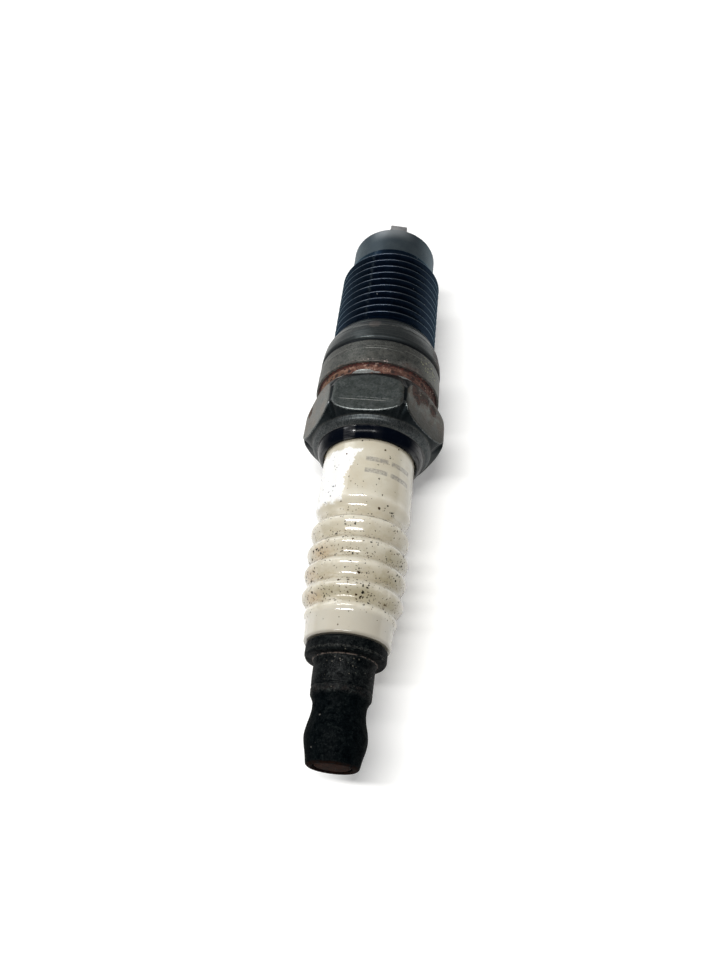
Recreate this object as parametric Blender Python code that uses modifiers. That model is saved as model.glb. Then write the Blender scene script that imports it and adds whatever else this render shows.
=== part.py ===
"""Conical-seat spark plug, M14 x 1.25, 5/8 inch hexagon, with a screw-on terminal nut.

The plug lies on its side. Its axis is the world's Y axis, with the firing end at +Y and the
terminal at -Y; +Z is up, square to a flat of the hexagon. The origin is on the axis, half-way
along the plug.

Every piece is drawn upright in the plug's own frame, whose height is 0 at the outer face of
the ground electrode and grows towards the terminal, and hangs on the empty plug_axis, which
lays the plug down. Blender units are metres; the sizes below are millimetres, and MM turns
them into metres. Every outline is a list of (radius, height) points.
"""

import math

import bmesh
import bpy

MM = 0.001

# ---------------------------------------------------------------- driving dimensions (mm)
FACETS = 24                  # round the large turned pieces
ENVELOPE_FACETS = 48         # round the envelope that chamfers the hexagon
STUD_FACETS = 12             # round the terminal stud
RING_TUBE_FACETS = 8         # round the wire of a packing ring
MERGE_DISTANCE = 0.005       # points of a turned piece closer than this become one

# threads
THREAD_MAJOR_R = 7.00        # M14 x 1.25
THREAD_ROOT_R = 6.23
THREAD_PITCH = 1.25
THREAD_START_Z = 7.79        # helix position of the first crest
THREAD_TURNS = 10.5
THREAD_CREST_FLAT = 0.16
THREAD_EMBED = 0.18          # how deep the ridge's foot is sunk into the core
STUD_MAJOR_R = 1.97          # M4 x 0.7
STUD_ROOT_R = 1.56
STUD_PITCH = 0.70
STUD_THREAD_START_Z = 64.30
STUD_THREAD_TURNS = 15.25
STUD_CREST_FLAT = 0.09
STUD_EMBED = 0.13
FLANK_ANGLE_DEG = 30         # of a thread flank from square to the axis
FADE_TURNS = 0.5             # turns over which a thread runs out at each end
FADED_CREST = 0.05           # height of a run-out crest above the ridge's foot

# shell
NOSE_R = 5.95
NOSE_END_Z = 2.10
NOSE_BORE_R = 4.40
COLLAR_R = 8.05
COLLAR_TOP_Z = 29.70
GROOVE_R = 7.30
HEX_ACROSS_FLATS = 15.88     # 5/8 inch
HEX_CORNER_R = 9.05          # corners are turned down to this
HEX_LOW_Z = 30.90
HEX_HIGH_Z = 37.60
LIP_TOP_Z = 39.75
LIP_BORE_R = 5.74
CAVITY_R = 6.40              # bore that holds the insulator's shoulder and the talc
BARREL_BORE_R = 4.96
LEDGE_R = 3.95               # inner edge of the ledge under the insulator
LEDGE_Z = 14.20
CUT_OVERSHOOT = 1.0          # the bore's cutter runs this far past both ends of the shell

# insulator
INSULATOR_R = 5.62
INSULATOR_END_R = 4.60
INSULATOR_TIP_Z = 3.10
INSULATOR_TOP_Z = 63.35
INSULATOR_BORE_R = 2.10
ELECTRODE_BORE_R = 1.32

# seals
LEDGE_SLOPE = 0.70           # rise of the seat washer's cone per unit of radius
WASHER_INNER_R = 4.02        # washer radii and distances are measured on and off the cone
WASHER_OUTER_R = 4.80
WASHER_NEAR = 0.03
WASHER_FAR = 0.31
TALC_CLEARANCE = 0.05
TALC_LOW_Z = 34.72
TALC_HIGH_Z = 36.66
PACKING_WIRE_R = 0.32
PACKING_RING_Z = {"lower_packing_ring": 34.30, "upper_packing_ring": 37.06}

# electrodes
CENTRE_R = 1.27
CENTRE_EDGE = 0.08           # chamfer of the centre electrode's tip
GAP = 0.80
STRAP_THICK = 1.20
STRAP_WIDTH = 2.40
STRAP_EDGE = 0.12            # rounding of the long edges and chamfer of the free end
STRAP_BEND_R = 1.70          # outer radius of the bend
STRAP_END_X = -1.35          # free end, just past the axis
STRAP_INSET = 0.04           # of the strap's outer face from the nose's surface
STRAP_ROOT_GAP = 0.02        # between the strap's root and the nose's end
STRAP_TURN_DEG = 9.6         # the strap stands this far round from the plug frame's -Y flat

# fired-in seal column
COLUMN_R = INSULATOR_BORE_R - 0.04
COLUMN_GAP = 0.03            # between neighbouring pieces of the column
RESISTOR_LOW_Z = 26.53
RESISTOR_HIGH_Z = 36.00

# terminal
NUT_LOW_Z = 63.40
NUT_TOP_Z = 75.69
NUT_BORE_R = 2.03
FLANGE_R = 4.42


# ---------------------------------------------------------------- scene
for old in list(bpy.data.objects):
    bpy.data.objects.remove(old, do_unlink=True)

parts = bpy.data.collections.new("spark_plug")
cutters = bpy.data.collections.new("cutters")
bpy.context.scene.collection.children.link(parts)
bpy.context.scene.collection.children.link(cutters)

# The empty that lays the upright plug on its side, centred on the origin.
plug_axis = bpy.data.objects.new("plug_axis", None)
plug_axis.empty_display_type = "ARROWS"
plug_axis.empty_display_size = 0.02
plug_axis.location = (0, NUT_TOP_Z / 2 * MM, 0)
plug_axis.rotation_euler = (math.radians(90), math.radians(180), 0)
parts.objects.link(plug_axis)


# ---------------------------------------------------------------- materials
def material(name, colour, roughness, metallic):
    mat = bpy.data.materials.new(name)
    mat.use_nodes = True
    inputs = mat.node_tree.nodes["Principled BSDF"].inputs
    inputs["Base Color"].default_value = (*colour, 1.0)
    inputs["Roughness"].default_value = roughness
    inputs["Metallic"].default_value = metallic
    return mat


def metal(name, colour, roughness):
    return material(name, colour, roughness, metallic=1.0)


def mineral(name, colour, roughness):
    return material(name, colour, roughness, metallic=0.0)


BLACKED_STEEL = metal("blacked_steel", colour=(0.045, 0.052, 0.060), roughness=0.42)
GLAZED_ALUMINA = mineral("glazed_alumina", colour=(0.780, 0.750, 0.660), roughness=0.12)
TERMINAL_STEEL = metal("terminal_steel", colour=(0.028, 0.032, 0.036), roughness=0.50)
STUD_STEEL = metal("stud_steel", colour=(0.300, 0.200, 0.140), roughness=0.60)
NICKEL = metal("nickel_alloy", colour=(0.360, 0.340, 0.320), roughness=0.38)
COPPER = metal("copper", colour=(0.720, 0.330, 0.190), roughness=0.30)
GLASS_SEAL = mineral("glass_seal", colour=(0.160, 0.120, 0.090), roughness=0.35)
RESISTOR = mineral("resistor_glass", colour=(0.070, 0.070, 0.075), roughness=0.55)
TALC = mineral("talc", colour=(0.700, 0.690, 0.660), roughness=0.90)
PACKING_STEEL = metal("packing_steel", colour=(0.420, 0.420, 0.430), roughness=0.35)


# ---------------------------------------------------------------- shape helpers
def place(obj, mat=None):
    """Hang an object on the plug's axis: a part if it has a material, else a hidden helper."""
    for owner in list(obj.users_collection):
        owner.objects.unlink(obj)
    obj.parent = plug_axis
    if mat:
        parts.objects.link(obj)
        obj.data.materials.append(mat)
    else:
        cutters.objects.link(obj)
        obj.hide_render = True
        obj.display_type = "WIRE"
    return obj


def smooth(obj, degrees):
    obj.data.shade_smooth()
    obj.data.set_sharp_from_angle(angle=math.radians(degrees))


def turned(name, outline, mat=None, closed=False, facets=FACETS):
    """A turned piece: an outline in the XZ plane and a Screw modifier.

    A solid piece's outline starts and ends on the axis; a ring's is a closed loop.
    """
    points = [(radius * MM, 0.0, height * MM) for radius, height in outline]
    edges = [(i, i + 1) for i in range(len(points) - 1)]
    if closed:
        edges.append((len(points) - 1, 0))
    mesh = bpy.data.meshes.new(name)
    mesh.from_pydata(points, edges, [])
    obj = place(bpy.data.objects.new(name, mesh), mat)
    screw = obj.modifiers.new("turn", "SCREW")
    screw.axis = "Z"
    screw.steps = facets
    screw.render_steps = facets
    screw.use_merge_vertices = True
    screw.merge_threshold = MERGE_DISTANCE * MM
    screw.use_smooth_shade = True
    return obj


def boolean(obj, other, operation):
    modifier = obj.modifiers.new(f"{operation.lower()}_{other.name}", "BOOLEAN")
    modifier.operation = operation
    modifier.solver = "EXACT"
    modifier.object = other


def thread_ridge(name, root_r, crest_r, crest_flat, pitch, start_z, turns, facets):
    """A screw thread's ridge: a trapezium face spun round Z while it climbs one pitch a turn.

    The crest sinks below the core's surface over FADE_TURNS at each end, as a rolled thread
    runs out. The ridge stands half a facet round from the core it joins.
    """
    half_crest = crest_flat / 2
    half_root = half_crest + (crest_r - root_r) * math.tan(math.radians(FLANK_ANGLE_DEG))
    section = [
        (root_r, -half_root), (crest_r, -half_crest), (crest_r, half_crest), (root_r, half_root),
    ]
    work = bmesh.new()
    face = work.faces.new(
        [work.verts.new((radius * MM, 0.0, (start_z + rise) * MM)) for radius, rise in section]
    )
    bmesh.ops.spin(
        work,
        geom=[face, *face.edges, *face.verts],
        cent=(0, 0, 0),
        axis=(0, 0, 1),
        dvec=(0, 0, pitch * MM / facets),
        angle=math.tau * turns,
        steps=int(round(turns * facets)),
        use_duplicate=False,
    )
    low_r = root_r + FADED_CREST
    for vert in work.verts:
        radius = math.hypot(vert.co.x, vert.co.y) / MM
        if radius < (root_r + crest_r) / 2:
            continue
        # Turns climbed so far: of the crest's two edges, the one that agrees with the bearing.
        bearing = math.atan2(vert.co.y, vert.co.x)
        along = min(
            ((vert.co.z / MM - start_z - rise) / pitch for rise in (-half_crest, half_crest)),
            key=lambda climbed: 1 - math.cos(math.tau * climbed - bearing),
        )
        share = max(min(along / FADE_TURNS, (turns - along) / FADE_TURNS, 1.0), 0.0)
        wanted = low_r + (crest_r - root_r - FADED_CREST) * share
        vert.co.x *= wanted / radius
        vert.co.y *= wanted / radius
    bmesh.ops.recalc_face_normals(work, faces=work.faces)
    mesh = bpy.data.meshes.new(name)
    work.to_mesh(mesh)
    work.free()
    obj = place(bpy.data.objects.new(name, mesh))
    obj.rotation_euler.z = math.pi / facets
    return obj


def arc(centre_x, centre_z, radius, start, end, count):
    """Points on a circle; 0 degrees points outwards, 90 up."""
    angles = [math.radians(start + (end - start) * i / (count - 1)) for i in range(count)]
    return [
        (centre_x + radius * math.cos(angle), centre_z + radius * math.sin(angle))
        for angle in angles
    ]


# ---------------------------------------------------------------- shell
# Outside of the shell, from the rolled lip down to the plain nose, without hexagon or thread.
shell = turned(
    "shell",
    [
        # rolled lip
        (0.0, LIP_TOP_Z), (5.78, LIP_TOP_Z), (6.05, 39.66), (6.28, 39.42), (6.44, 39.06),
        (6.54, 38.66), (6.62, 38.30),
        # rounded step and the core of the hexagon
        (6.88, 38.20), (7.14, 37.98), (7.32, 37.68), (7.38, 37.36), (7.38, 36.00),
        # groove below the hexagon
        (GROOVE_R, 31.40), (GROOVE_R, COLLAR_TOP_Z + 0.10), (GROOVE_R + 0.12, COLLAR_TOP_Z),
        # collar with a shallow groove
        (COLLAR_R - 0.16, COLLAR_TOP_Z), (COLLAR_R, COLLAR_TOP_Z - 0.18),
        (COLLAR_R - 0.02, 25.84), (7.86, 25.70), (7.86, 25.54), (8.00, 25.40), (7.96, 23.90),
        # conical seat
        (7.86, 22.98), (7.72, 22.50), (7.56, 22.20), (6.94, 21.18), (6.60, 21.02),
        # thread core
        (THREAD_ROOT_R, 20.90), (THREAD_ROOT_R, 7.36),
        # plain nose
        (NOSE_R, 7.02), (NOSE_R, NOSE_END_Z + 0.28), (NOSE_R - 0.28, NOSE_END_Z),
        (0.0, NOSE_END_Z),
    ],
    BLACKED_STEEL,
)

# Hexagon: a six-sided prism whose two ends are chamfered by a turned envelope.
bpy.ops.mesh.primitive_cylinder_add(
    vertices=6,
    radius=HEX_ACROSS_FLATS / 2 / math.cos(math.radians(30)) * MM,
    depth=(HEX_HIGH_Z - HEX_LOW_Z) * MM,
    location=(0, 0, (HEX_HIGH_Z + HEX_LOW_Z) / 2 * MM),
    rotation=(0, 0, math.radians(30)),
)
hexagon = bpy.context.object
hexagon.name = "hexagon_blank"
place(hexagon)
hexagon_envelope = turned(
    "hexagon_envelope",
    [
        (0.0, 38.00), (6.378, 38.00), (HEX_CORNER_R, 36.57),
        (HEX_CORNER_R, 33.35), (6.90, 30.28), (0.0, 30.28),
    ],
    facets=ENVELOPE_FACETS,
)
boolean(hexagon, hexagon_envelope, "INTERSECT")

shell_ridge = thread_ridge(
    "thread_ridge",
    root_r=THREAD_ROOT_R - THREAD_EMBED,
    crest_r=THREAD_MAJOR_R,
    crest_flat=THREAD_CREST_FLAT,
    pitch=THREAD_PITCH,
    start_z=THREAD_START_Z,
    turns=THREAD_TURNS,
    facets=FACETS,
)

# Everything inside the shell: lip, cavity for shoulder and talc, barrel, ledge and nose bore.
shell_bore = turned(
    "shell_bore",
    [
        (0.0, LIP_TOP_Z + CUT_OVERSHOOT), (LIP_BORE_R, LIP_TOP_Z + CUT_OVERSHOOT),
        (LIP_BORE_R, 38.52), (6.06, 38.04), (6.30, 37.66),
        (CAVITY_R, 37.28), (CAVITY_R, 29.24),
        (BARREL_BORE_R, 28.30), (BARREL_BORE_R, 14.90),
        (LEDGE_R, LEDGE_Z), (LEDGE_R, 13.40),
        (NOSE_BORE_R, 12.92), (NOSE_BORE_R, NOSE_END_Z + 0.20),
        (NOSE_BORE_R + 0.20, NOSE_END_Z), (NOSE_BORE_R + 0.20, NOSE_END_Z - CUT_OVERSHOOT),
        (0.0, NOSE_END_Z - CUT_OVERSHOOT),
    ],
)
boolean(shell, hexagon, "UNION")
boolean(shell, shell_ridge, "UNION")
boolean(shell, shell_bore, "DIFFERENCE")

# ---------------------------------------------------------------- insulator
# Turning points of the ribbed length, from the top down: (radius, height).
RIB_TURNING_POINTS = [
    (5.00, 60.62),
    (4.96, 59.46), (5.44, 58.16),    # each line: a valley and the rib below it
    (5.12, 56.86), (5.60, 55.56),
    (5.14, 54.24), (5.62, 52.92),
    (5.14, 51.62), (5.58, 50.30),
    (5.20, 48.85), (INSULATOR_R, 47.30),
]
insulator_outline = [
    (INSULATOR_BORE_R + 0.12, INSULATOR_TOP_Z),
    (INSULATOR_END_R - 0.18, INSULATOR_TOP_Z),
    (INSULATOR_END_R, INSULATOR_TOP_Z - 0.18),
    (4.84, 61.80), (5.02, 60.98), RIB_TURNING_POINTS[0],
]
# A point half-way down each flank, then the next turning point.
for (high_r, high_z), (low_r, low_z) in zip(RIB_TURNING_POINTS, RIB_TURNING_POINTS[1:]):
    insulator_outline += [((high_r + low_r) / 2, (high_z + low_z) / 2), (low_r, low_z)]
insulator_outline += [
    # shoulder and barrel
    (INSULATOR_R, 34.12), (6.34, 33.50), (6.34, 29.48), (4.88, 28.52), (4.88, 15.36),
    # tapered nose
    (4.75, 15.18), (3.75, 14.48), (3.70, 13.40), (3.45, 12.00), (2.95, 8.00),
    (2.32, 3.50), (2.16, 3.22), (1.90, INSULATOR_TIP_Z),
    # up the bore
    (ELECTRODE_BORE_R + 0.06, INSULATOR_TIP_Z), (ELECTRODE_BORE_R, INSULATOR_TIP_Z + 0.10),
    (ELECTRODE_BORE_R, 20.20), (INSULATOR_BORE_R, 20.90),
    (INSULATOR_BORE_R, INSULATOR_TOP_Z - 0.12),
]
turned("insulator", insulator_outline, GLAZED_ALUMINA, closed=True)


# ---------------------------------------------------------------- seals between shell and insulator
def off_ledge(radius, distance):
    """The point this far, square off the ledge's cone, from the cone's point at radius."""
    lean = math.atan(LEDGE_SLOPE)
    height = LEDGE_Z + (radius - LEDGE_R) * LEDGE_SLOPE
    return radius - math.sin(lean) * distance, height + math.cos(lean) * distance


# Packing washer on the shell's inner ledge: a flat ring formed to the ledge's cone.
turned(
    "seat_washer",
    [
        off_ledge(WASHER_OUTER_R, WASHER_FAR), off_ledge(WASHER_OUTER_R, WASHER_NEAR),
        off_ledge(WASHER_INNER_R, WASHER_NEAR), off_ledge(WASHER_INNER_R, WASHER_FAR),
    ],
    PACKING_STEEL, closed=True,
)

talc_inner_r = INSULATOR_R + TALC_CLEARANCE
talc_outer_r = CAVITY_R - TALC_CLEARANCE
turned(
    "talc_packing",
    [
        (talc_inner_r, TALC_HIGH_Z), (talc_outer_r, TALC_HIGH_Z),
        (talc_outer_r, TALC_LOW_Z), (talc_inner_r, TALC_LOW_Z),
    ],
    TALC, closed=True,
)

# Wire rings below and above the talc, midway between insulator and cavity.
for ring_name, ring_z in PACKING_RING_Z.items():
    bpy.ops.mesh.primitive_torus_add(
        major_segments=FACETS,
        minor_segments=RING_TUBE_FACETS,
        major_radius=(INSULATOR_R + CAVITY_R) / 2 * MM,
        minor_radius=PACKING_WIRE_R * MM,
        location=(0, 0, ring_z * MM),
    )
    ring = bpy.context.object
    ring.name = ring_name
    place(ring, PACKING_STEEL)
    smooth(ring, degrees=60)

# ---------------------------------------------------------------- centre electrode and core
# The nickel jacket is a cup: its outline climbs the blind bore, crosses the rim and runs down
# the outside.
tip_z = STRAP_THICK + GAP
turned(
    "center_electrode",
    [
        (0.0, 4.30), (0.70, 4.50), (0.70, 21.72), (0.76, 21.80), (1.50, 21.80), (1.80, 21.50),
        (1.80, 20.84), (CENTRE_R, 20.28), (CENTRE_R, tip_z + CENTRE_EDGE),
        (CENTRE_R - CENTRE_EDGE, tip_z), (0.0, tip_z),
    ],
    NICKEL,
)
turned(
    "center_electrode_core",
    [(0.0, 21.78), (0.60, 21.78), (0.66, 21.70), (0.66, 4.56), (0.0, 4.38)],
    COPPER,
)

# ---------------------------------------------------------------- fired-in seal column
lower_seal_top = RESISTOR_LOW_Z - COLUMN_GAP
upper_seal_low = RESISTOR_HIGH_Z + COLUMN_GAP
turned(
    "lower_glass_seal",
    [
        (0.0, lower_seal_top), (COLUMN_R, lower_seal_top), (COLUMN_R, 21.02), (1.88, 20.90),
        (1.86, 21.54), (1.54, 21.84), (0.0, 21.84),
    ],
    GLASS_SEAL,
)
turned(
    "suppressor_resistor",
    [
        (0.0, RESISTOR_HIGH_Z), (COLUMN_R, RESISTOR_HIGH_Z),
        (COLUMN_R, RESISTOR_LOW_Z), (0.0, RESISTOR_LOW_Z),
    ],
    RESISTOR,
)
turned(
    "upper_glass_seal",
    [
        (0.0, 38.36), (1.62, 38.36), (1.62, 41.90), (1.72, 42.00), (COLUMN_R, 42.00),
        (COLUMN_R, upper_seal_low), (0.0, upper_seal_low),
    ],
    GLASS_SEAL,
)

# ---------------------------------------------------------------- terminal stud and nut
stud = turned(
    "terminal_stud",
    [
        # thread core and the collar below it
        (0.0, 75.56), (1.40, 75.56), (STUD_ROOT_R, 75.34), (STUD_ROOT_R, 63.60),
        (2.04, 63.30), (2.04, 60.60), (STUD_ROOT_R, 60.20),
        # three grooves near the lower end
        (STUD_ROOT_R, 43.00), (1.46, 42.84), (1.46, 42.60), (STUD_ROOT_R, 42.44),
        (STUD_ROOT_R, 41.60), (1.44, 41.44), (1.44, 41.20), (STUD_ROOT_R, 41.04),
        (STUD_ROOT_R, 40.20), (1.44, 40.04), (1.44, 39.80), (STUD_ROOT_R, 39.64),
        # lower end
        (STUD_ROOT_R, 38.80), (1.36, 38.46), (0.0, 38.46),
    ],
    STUD_STEEL, facets=STUD_FACETS,
)
stud_ridge = thread_ridge(
    "stud_thread_ridge",
    root_r=STUD_ROOT_R - STUD_EMBED,
    crest_r=STUD_MAJOR_R,
    crest_flat=STUD_CREST_FLAT,
    pitch=STUD_PITCH,
    start_z=STUD_THREAD_START_Z,
    turns=STUD_THREAD_TURNS,
    facets=STUD_FACETS,
)
boolean(stud, stud_ridge, "UNION")

turned(
    "terminal_nut",
    [
        # bulged head
        (NUT_BORE_R + 0.14, NUT_TOP_Z), (2.42, NUT_TOP_Z), (2.62, 75.60), (2.70, 75.40),
        (2.82, 74.90), (2.98, 74.30), (3.13, 73.60), (3.21, 72.90), (3.20, 72.45),
        (3.10, 71.85), (2.94, 71.20),
        # neck and body
        (2.83, 70.65), (2.79, 70.10), (2.79, 69.42), (2.98, 69.20), (3.24, 68.96),
        (3.24, 65.22), (3.34, 65.06),
        # flange
        (4.22, 65.04), (FLANGE_R, 64.84), (FLANGE_R, NUT_LOW_Z + 0.16), (4.28, NUT_LOW_Z),
        # bore
        (NUT_BORE_R + 0.20, NUT_LOW_Z), (NUT_BORE_R, NUT_LOW_Z + 0.20),
        (NUT_BORE_R, NUT_TOP_Z - 0.14),
    ],
    TERMINAL_STEEL, closed=True,
)

# ---------------------------------------------------------------- ground electrode
# Side outline of the bent strap in its own plane: (distance from the axis, height).
strap_outer_x = NOSE_R - STRAP_INSET
strap_root_z = NOSE_END_Z - STRAP_ROOT_GAP
bend_x = strap_outer_x - STRAP_BEND_R
strap_outline = [
    (strap_outer_x, strap_root_z),
    *arc(bend_x, STRAP_BEND_R, STRAP_BEND_R, start=0, end=-90, count=8),
    (STRAP_END_X + STRAP_EDGE, 0.0),
    (STRAP_END_X, STRAP_EDGE),
    (STRAP_END_X, STRAP_THICK - STRAP_EDGE),
    (STRAP_END_X + STRAP_EDGE, STRAP_THICK),
    *arc(bend_x, STRAP_BEND_R, STRAP_BEND_R - STRAP_THICK, start=-90, end=0, count=5),
    (strap_outer_x - STRAP_THICK, strap_root_z),
]
curve = bpy.data.curves.new("ground_electrode_outline", "CURVE")
curve.dimensions = "2D"
curve.fill_mode = "BOTH"
curve.extrude = (STRAP_WIDTH / 2 - STRAP_EDGE) * MM
curve.bevel_depth = STRAP_EDGE * MM
curve.bevel_resolution = 1
curve.offset = -STRAP_EDGE * MM
spline = curve.splines.new("POLY")
spline.points.add(len(strap_outline) - 1)
for point, (x, z) in zip(spline.points, strap_outline):
    point.co = (x * MM, z * MM, 0.0, 1.0)
spline.use_cyclic_u = True

# Turn the curve into a mesh and join its fill to its sides.
curve_obj = place(bpy.data.objects.new("ground_electrode_curve", curve))
bpy.context.view_layer.update()
depsgraph = bpy.context.evaluated_depsgraph_get()
strap_mesh = bpy.data.meshes.new_from_object(curve_obj.evaluated_get(depsgraph))
bpy.data.objects.remove(curve_obj, do_unlink=True)
strap_work = bmesh.new()
strap_work.from_mesh(strap_mesh)
bmesh.ops.remove_doubles(strap_work, verts=strap_work.verts, dist=0.002 * MM)
bmesh.ops.recalc_face_normals(strap_work, faces=strap_work.faces)
strap_work.to_mesh(strap_mesh)
strap_work.free()

# Stand the outline up: its x goes along the strap's bearing and its y along the plug's axis.
strap = place(bpy.data.objects.new("ground_electrode", strap_mesh), NICKEL)
strap.rotation_euler = (math.radians(90), 0, math.radians(-90 - STRAP_TURN_DEG))
smooth(strap, degrees=30)
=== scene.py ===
"""A spark plug lying along Y: ground electrode at the +Y end, terminal nut at the -Y end.

Heights are millimetres along the plug from the ground electrode's outer face towards the
terminal, radii are millimetres from the axis, and bearings run from +X towards +Z (the top).
"""
import math
from functools import cached_property

import bpy
import numpy as np
from mathutils import Matrix, Vector


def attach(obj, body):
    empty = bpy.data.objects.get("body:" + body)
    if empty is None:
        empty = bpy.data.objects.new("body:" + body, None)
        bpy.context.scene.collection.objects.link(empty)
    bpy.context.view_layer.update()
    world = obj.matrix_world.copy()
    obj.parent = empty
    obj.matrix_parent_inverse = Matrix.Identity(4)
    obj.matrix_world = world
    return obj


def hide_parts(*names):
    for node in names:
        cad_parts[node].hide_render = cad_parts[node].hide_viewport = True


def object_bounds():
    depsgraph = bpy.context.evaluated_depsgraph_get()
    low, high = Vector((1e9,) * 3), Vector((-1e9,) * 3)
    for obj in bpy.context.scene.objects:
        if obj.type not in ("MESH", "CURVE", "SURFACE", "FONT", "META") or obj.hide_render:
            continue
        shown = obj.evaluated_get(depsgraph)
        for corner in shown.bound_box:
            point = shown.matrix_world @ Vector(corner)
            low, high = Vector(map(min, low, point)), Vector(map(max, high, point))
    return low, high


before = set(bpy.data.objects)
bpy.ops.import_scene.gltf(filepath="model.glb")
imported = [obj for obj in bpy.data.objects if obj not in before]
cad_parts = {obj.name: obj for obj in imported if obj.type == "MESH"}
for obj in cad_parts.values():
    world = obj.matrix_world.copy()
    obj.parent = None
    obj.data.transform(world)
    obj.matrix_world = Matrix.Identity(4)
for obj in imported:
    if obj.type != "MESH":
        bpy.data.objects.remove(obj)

CAD_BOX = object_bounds()
MM = 0.001
FIRING_Y = CAD_BOX[1].y                  # height 0, in metres
FIRING_Y_MM = FIRING_Y / MM
LEAN = math.radians(9.6)                 # the strap's leg and the view lean this far from +Z to +X

SUPPORT = 0.12                           # extra rings stand this close to every corner
ROUND = np.linspace(0, math.tau, 144, endpoint=False) - math.pi / 2

# Hexagon, shared by the shell's mesh and its material
HEX_FLAT = 7.94                          # half the width across flats
HEX_ROUNDING = 1.25
FLAT_HALF_WIDTH = 4.30
FLAT_LOW, FLAT_LOW_RISE, FLAT_LOW_ROUNDING = 31.70, 1.10, 0.90
FLAT_HIGH, FLAT_HIGH_DROP, FLAT_HIGH_ROUNDING = 37.17, 0.95, 0.70
FLAT_HIGH_POWER = 1.5                    # how sharply the upper end curves down to the corners


# ------------------------------------------------------------------ mesh building
def place(radius, bearing, height):
    """Points in metres."""
    radius, bearing, height = np.broadcast_arrays(np.asarray(radius, float), bearing, height)
    across, up = radius * np.cos(bearing) * MM, radius * np.sin(bearing) * MM
    return np.stack([across, FIRING_Y - height * MM, up], -1)


def smooth01(x):
    x = np.clip(x, 0, 1)
    return x * x * (3 - 2 * x)


def wobble(bearing, height, scale, seed, waves=9):
    """Smooth, repeatable unevenness over a turned surface, about -1 to 1."""
    rng = np.random.default_rng(seed)
    total = np.zeros(np.broadcast(bearing, height).shape)
    for _ in range(waves):
        around = rng.integers(1, 3 + int(10 / scale))
        along = rng.uniform(0.4, 1.6) / scale
        wave = np.cos(around * bearing + rng.uniform(0, 6.28))
        total = total + wave * np.cos(along * height + rng.uniform(0, 6.28))
    return total / math.sqrt(waves)


class Skin:
    """A mesh made of rings round an axis, with named values kept on its points (0 if not given)."""

    def __init__(self, name):
        self.name = name
        self.points = []
        self.count = 0
        self.faces = []
        self.values = {}

    def add(self, points, **values):
        points = np.asarray(points, float).reshape(-1, 3)
        start, self.count = self.count, self.count + len(points)
        self.points.append(points)
        for key, value in values.items():
            self.values.setdefault(key, []).append((slice(start, self.count), value))
        return np.arange(start, self.count)

    def quads(self, low, high):
        self.faces += np.stack([low[:-1], low[1:], high[1:], high[:-1]], -1).tolist()

    def band(self, low, high):
        """Quads all the way round between two rings."""
        self.quads(np.append(low, low[0]), np.append(high, high[0]))

    def stack(self, angles, outline, relief=None, marks=None):
        """Add a ring for each (radius, height, wear) and join them.

        relief(angles, height, radius) is added to the radius; marks(angles, height, radius, wear)
        gives further values for the points.
        """
        ids = []
        for radius, height, wear in outline:
            if relief:
                radius = radius + relief(angles, height, radius)
            values = {"wear": wear}
            if marks:
                values.update(marks(angles, height, radius, wear))
            ids.append(self.add(place(radius, angles, height), **values))
        for low, high in zip(ids, ids[1:]):
            self.band(low, high)
        return ids

    def cap(self, ring, height, firing_end=False):
        """Fan a ring to one point on the axis."""
        tip = self.add(place(0, 0, height))[0]
        following = np.roll(ring, -1)
        pairs = zip(following, ring) if firing_end else zip(ring, following)
        self.faces += [[first, second, tip] for first, second in pairs]

    def make(self, sharp):
        faces = [[int(point) for point in face] for face in self.faces]
        mesh = bpy.data.meshes.new(self.name)
        mesh.from_pydata(np.concatenate(self.points).tolist(), [], faces)
        for key, chunks in self.values.items():
            full = np.zeros(self.count, np.float32)
            for span, value in chunks:
                full[span] = value
            mesh.attributes.new(key, "FLOAT", "POINT").data.foreach_set("value", full)
        mesh.validate()
        mesh.update()
        mesh.shade_smooth()
        mesh.set_sharp_from_angle(angle=math.radians(sharp))
        obj = bpy.data.objects.new(self.name, mesh)
        bpy.context.scene.collection.objects.link(obj)
        return obj


def set_back(corner, neighbour, rounding):
    """The point a rounding's length from a corner towards its neighbour, short of halfway."""
    side = neighbour - corner
    length = np.linalg.norm(side, axis=-1)
    cut = np.minimum(rounding, length * 0.47)
    return corner + side / np.maximum(length, 1e-9)[:, None] * cut[:, None]


def outline_rings(corners, angles, step=0.9, arc=4):
    """Rings (radius, height, wear) for an outline of corners (radius, height, rounding, wear).

    Radius and height may vary with the bearing; rounding and wear are 0 where left out. step is
    the longest gap between rings and arc the number of rings round a corner.
    """
    corners = [(*corner, 0, 0)[:4] for corner in corners]
    points = [np.stack([np.broadcast_to(value, len(angles)) for value in corner[:2]], -1)
              .astype(float) for corner in corners]
    last = len(corners) - 1
    curves = []
    for k, point in enumerate(points):
        rounding = corners[k][2]
        if 0 < k < last and rounding > 0:
            before = set_back(point, points[k - 1], rounding)
            after = set_back(point, points[k + 1], rounding)
            curves.append([(1 - t) ** 2 * before + 2 * t * (1 - t) * point + t * t * after
                           for t in np.linspace(0, 1, arc)])
        else:
            curves.append([point])
    rings = []
    for k, curve in enumerate(curves):
        rings += [(point[:, 0], point[:, 1], corners[k][3]) for point in curve]
        if k == last:
            break
        start, end = curve[-1], curves[k + 1][0]
        length = float(np.linalg.norm(end - start, axis=-1).mean())
        cuts = []
        if length > 3 * SUPPORT:
            spans = max(1, int(math.ceil((length - 2 * SUPPORT) / step)))
            cuts = np.linspace(SUPPORT / length, 1 - SUPPORT / length, spans + 1)
        elif length > SUPPORT:
            cuts = [0.5]
        for t in cuts:
            point = start * (1 - t) + end * t
            rings.append((point[:, 0], point[:, 1], 0.0))
    return rings


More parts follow.
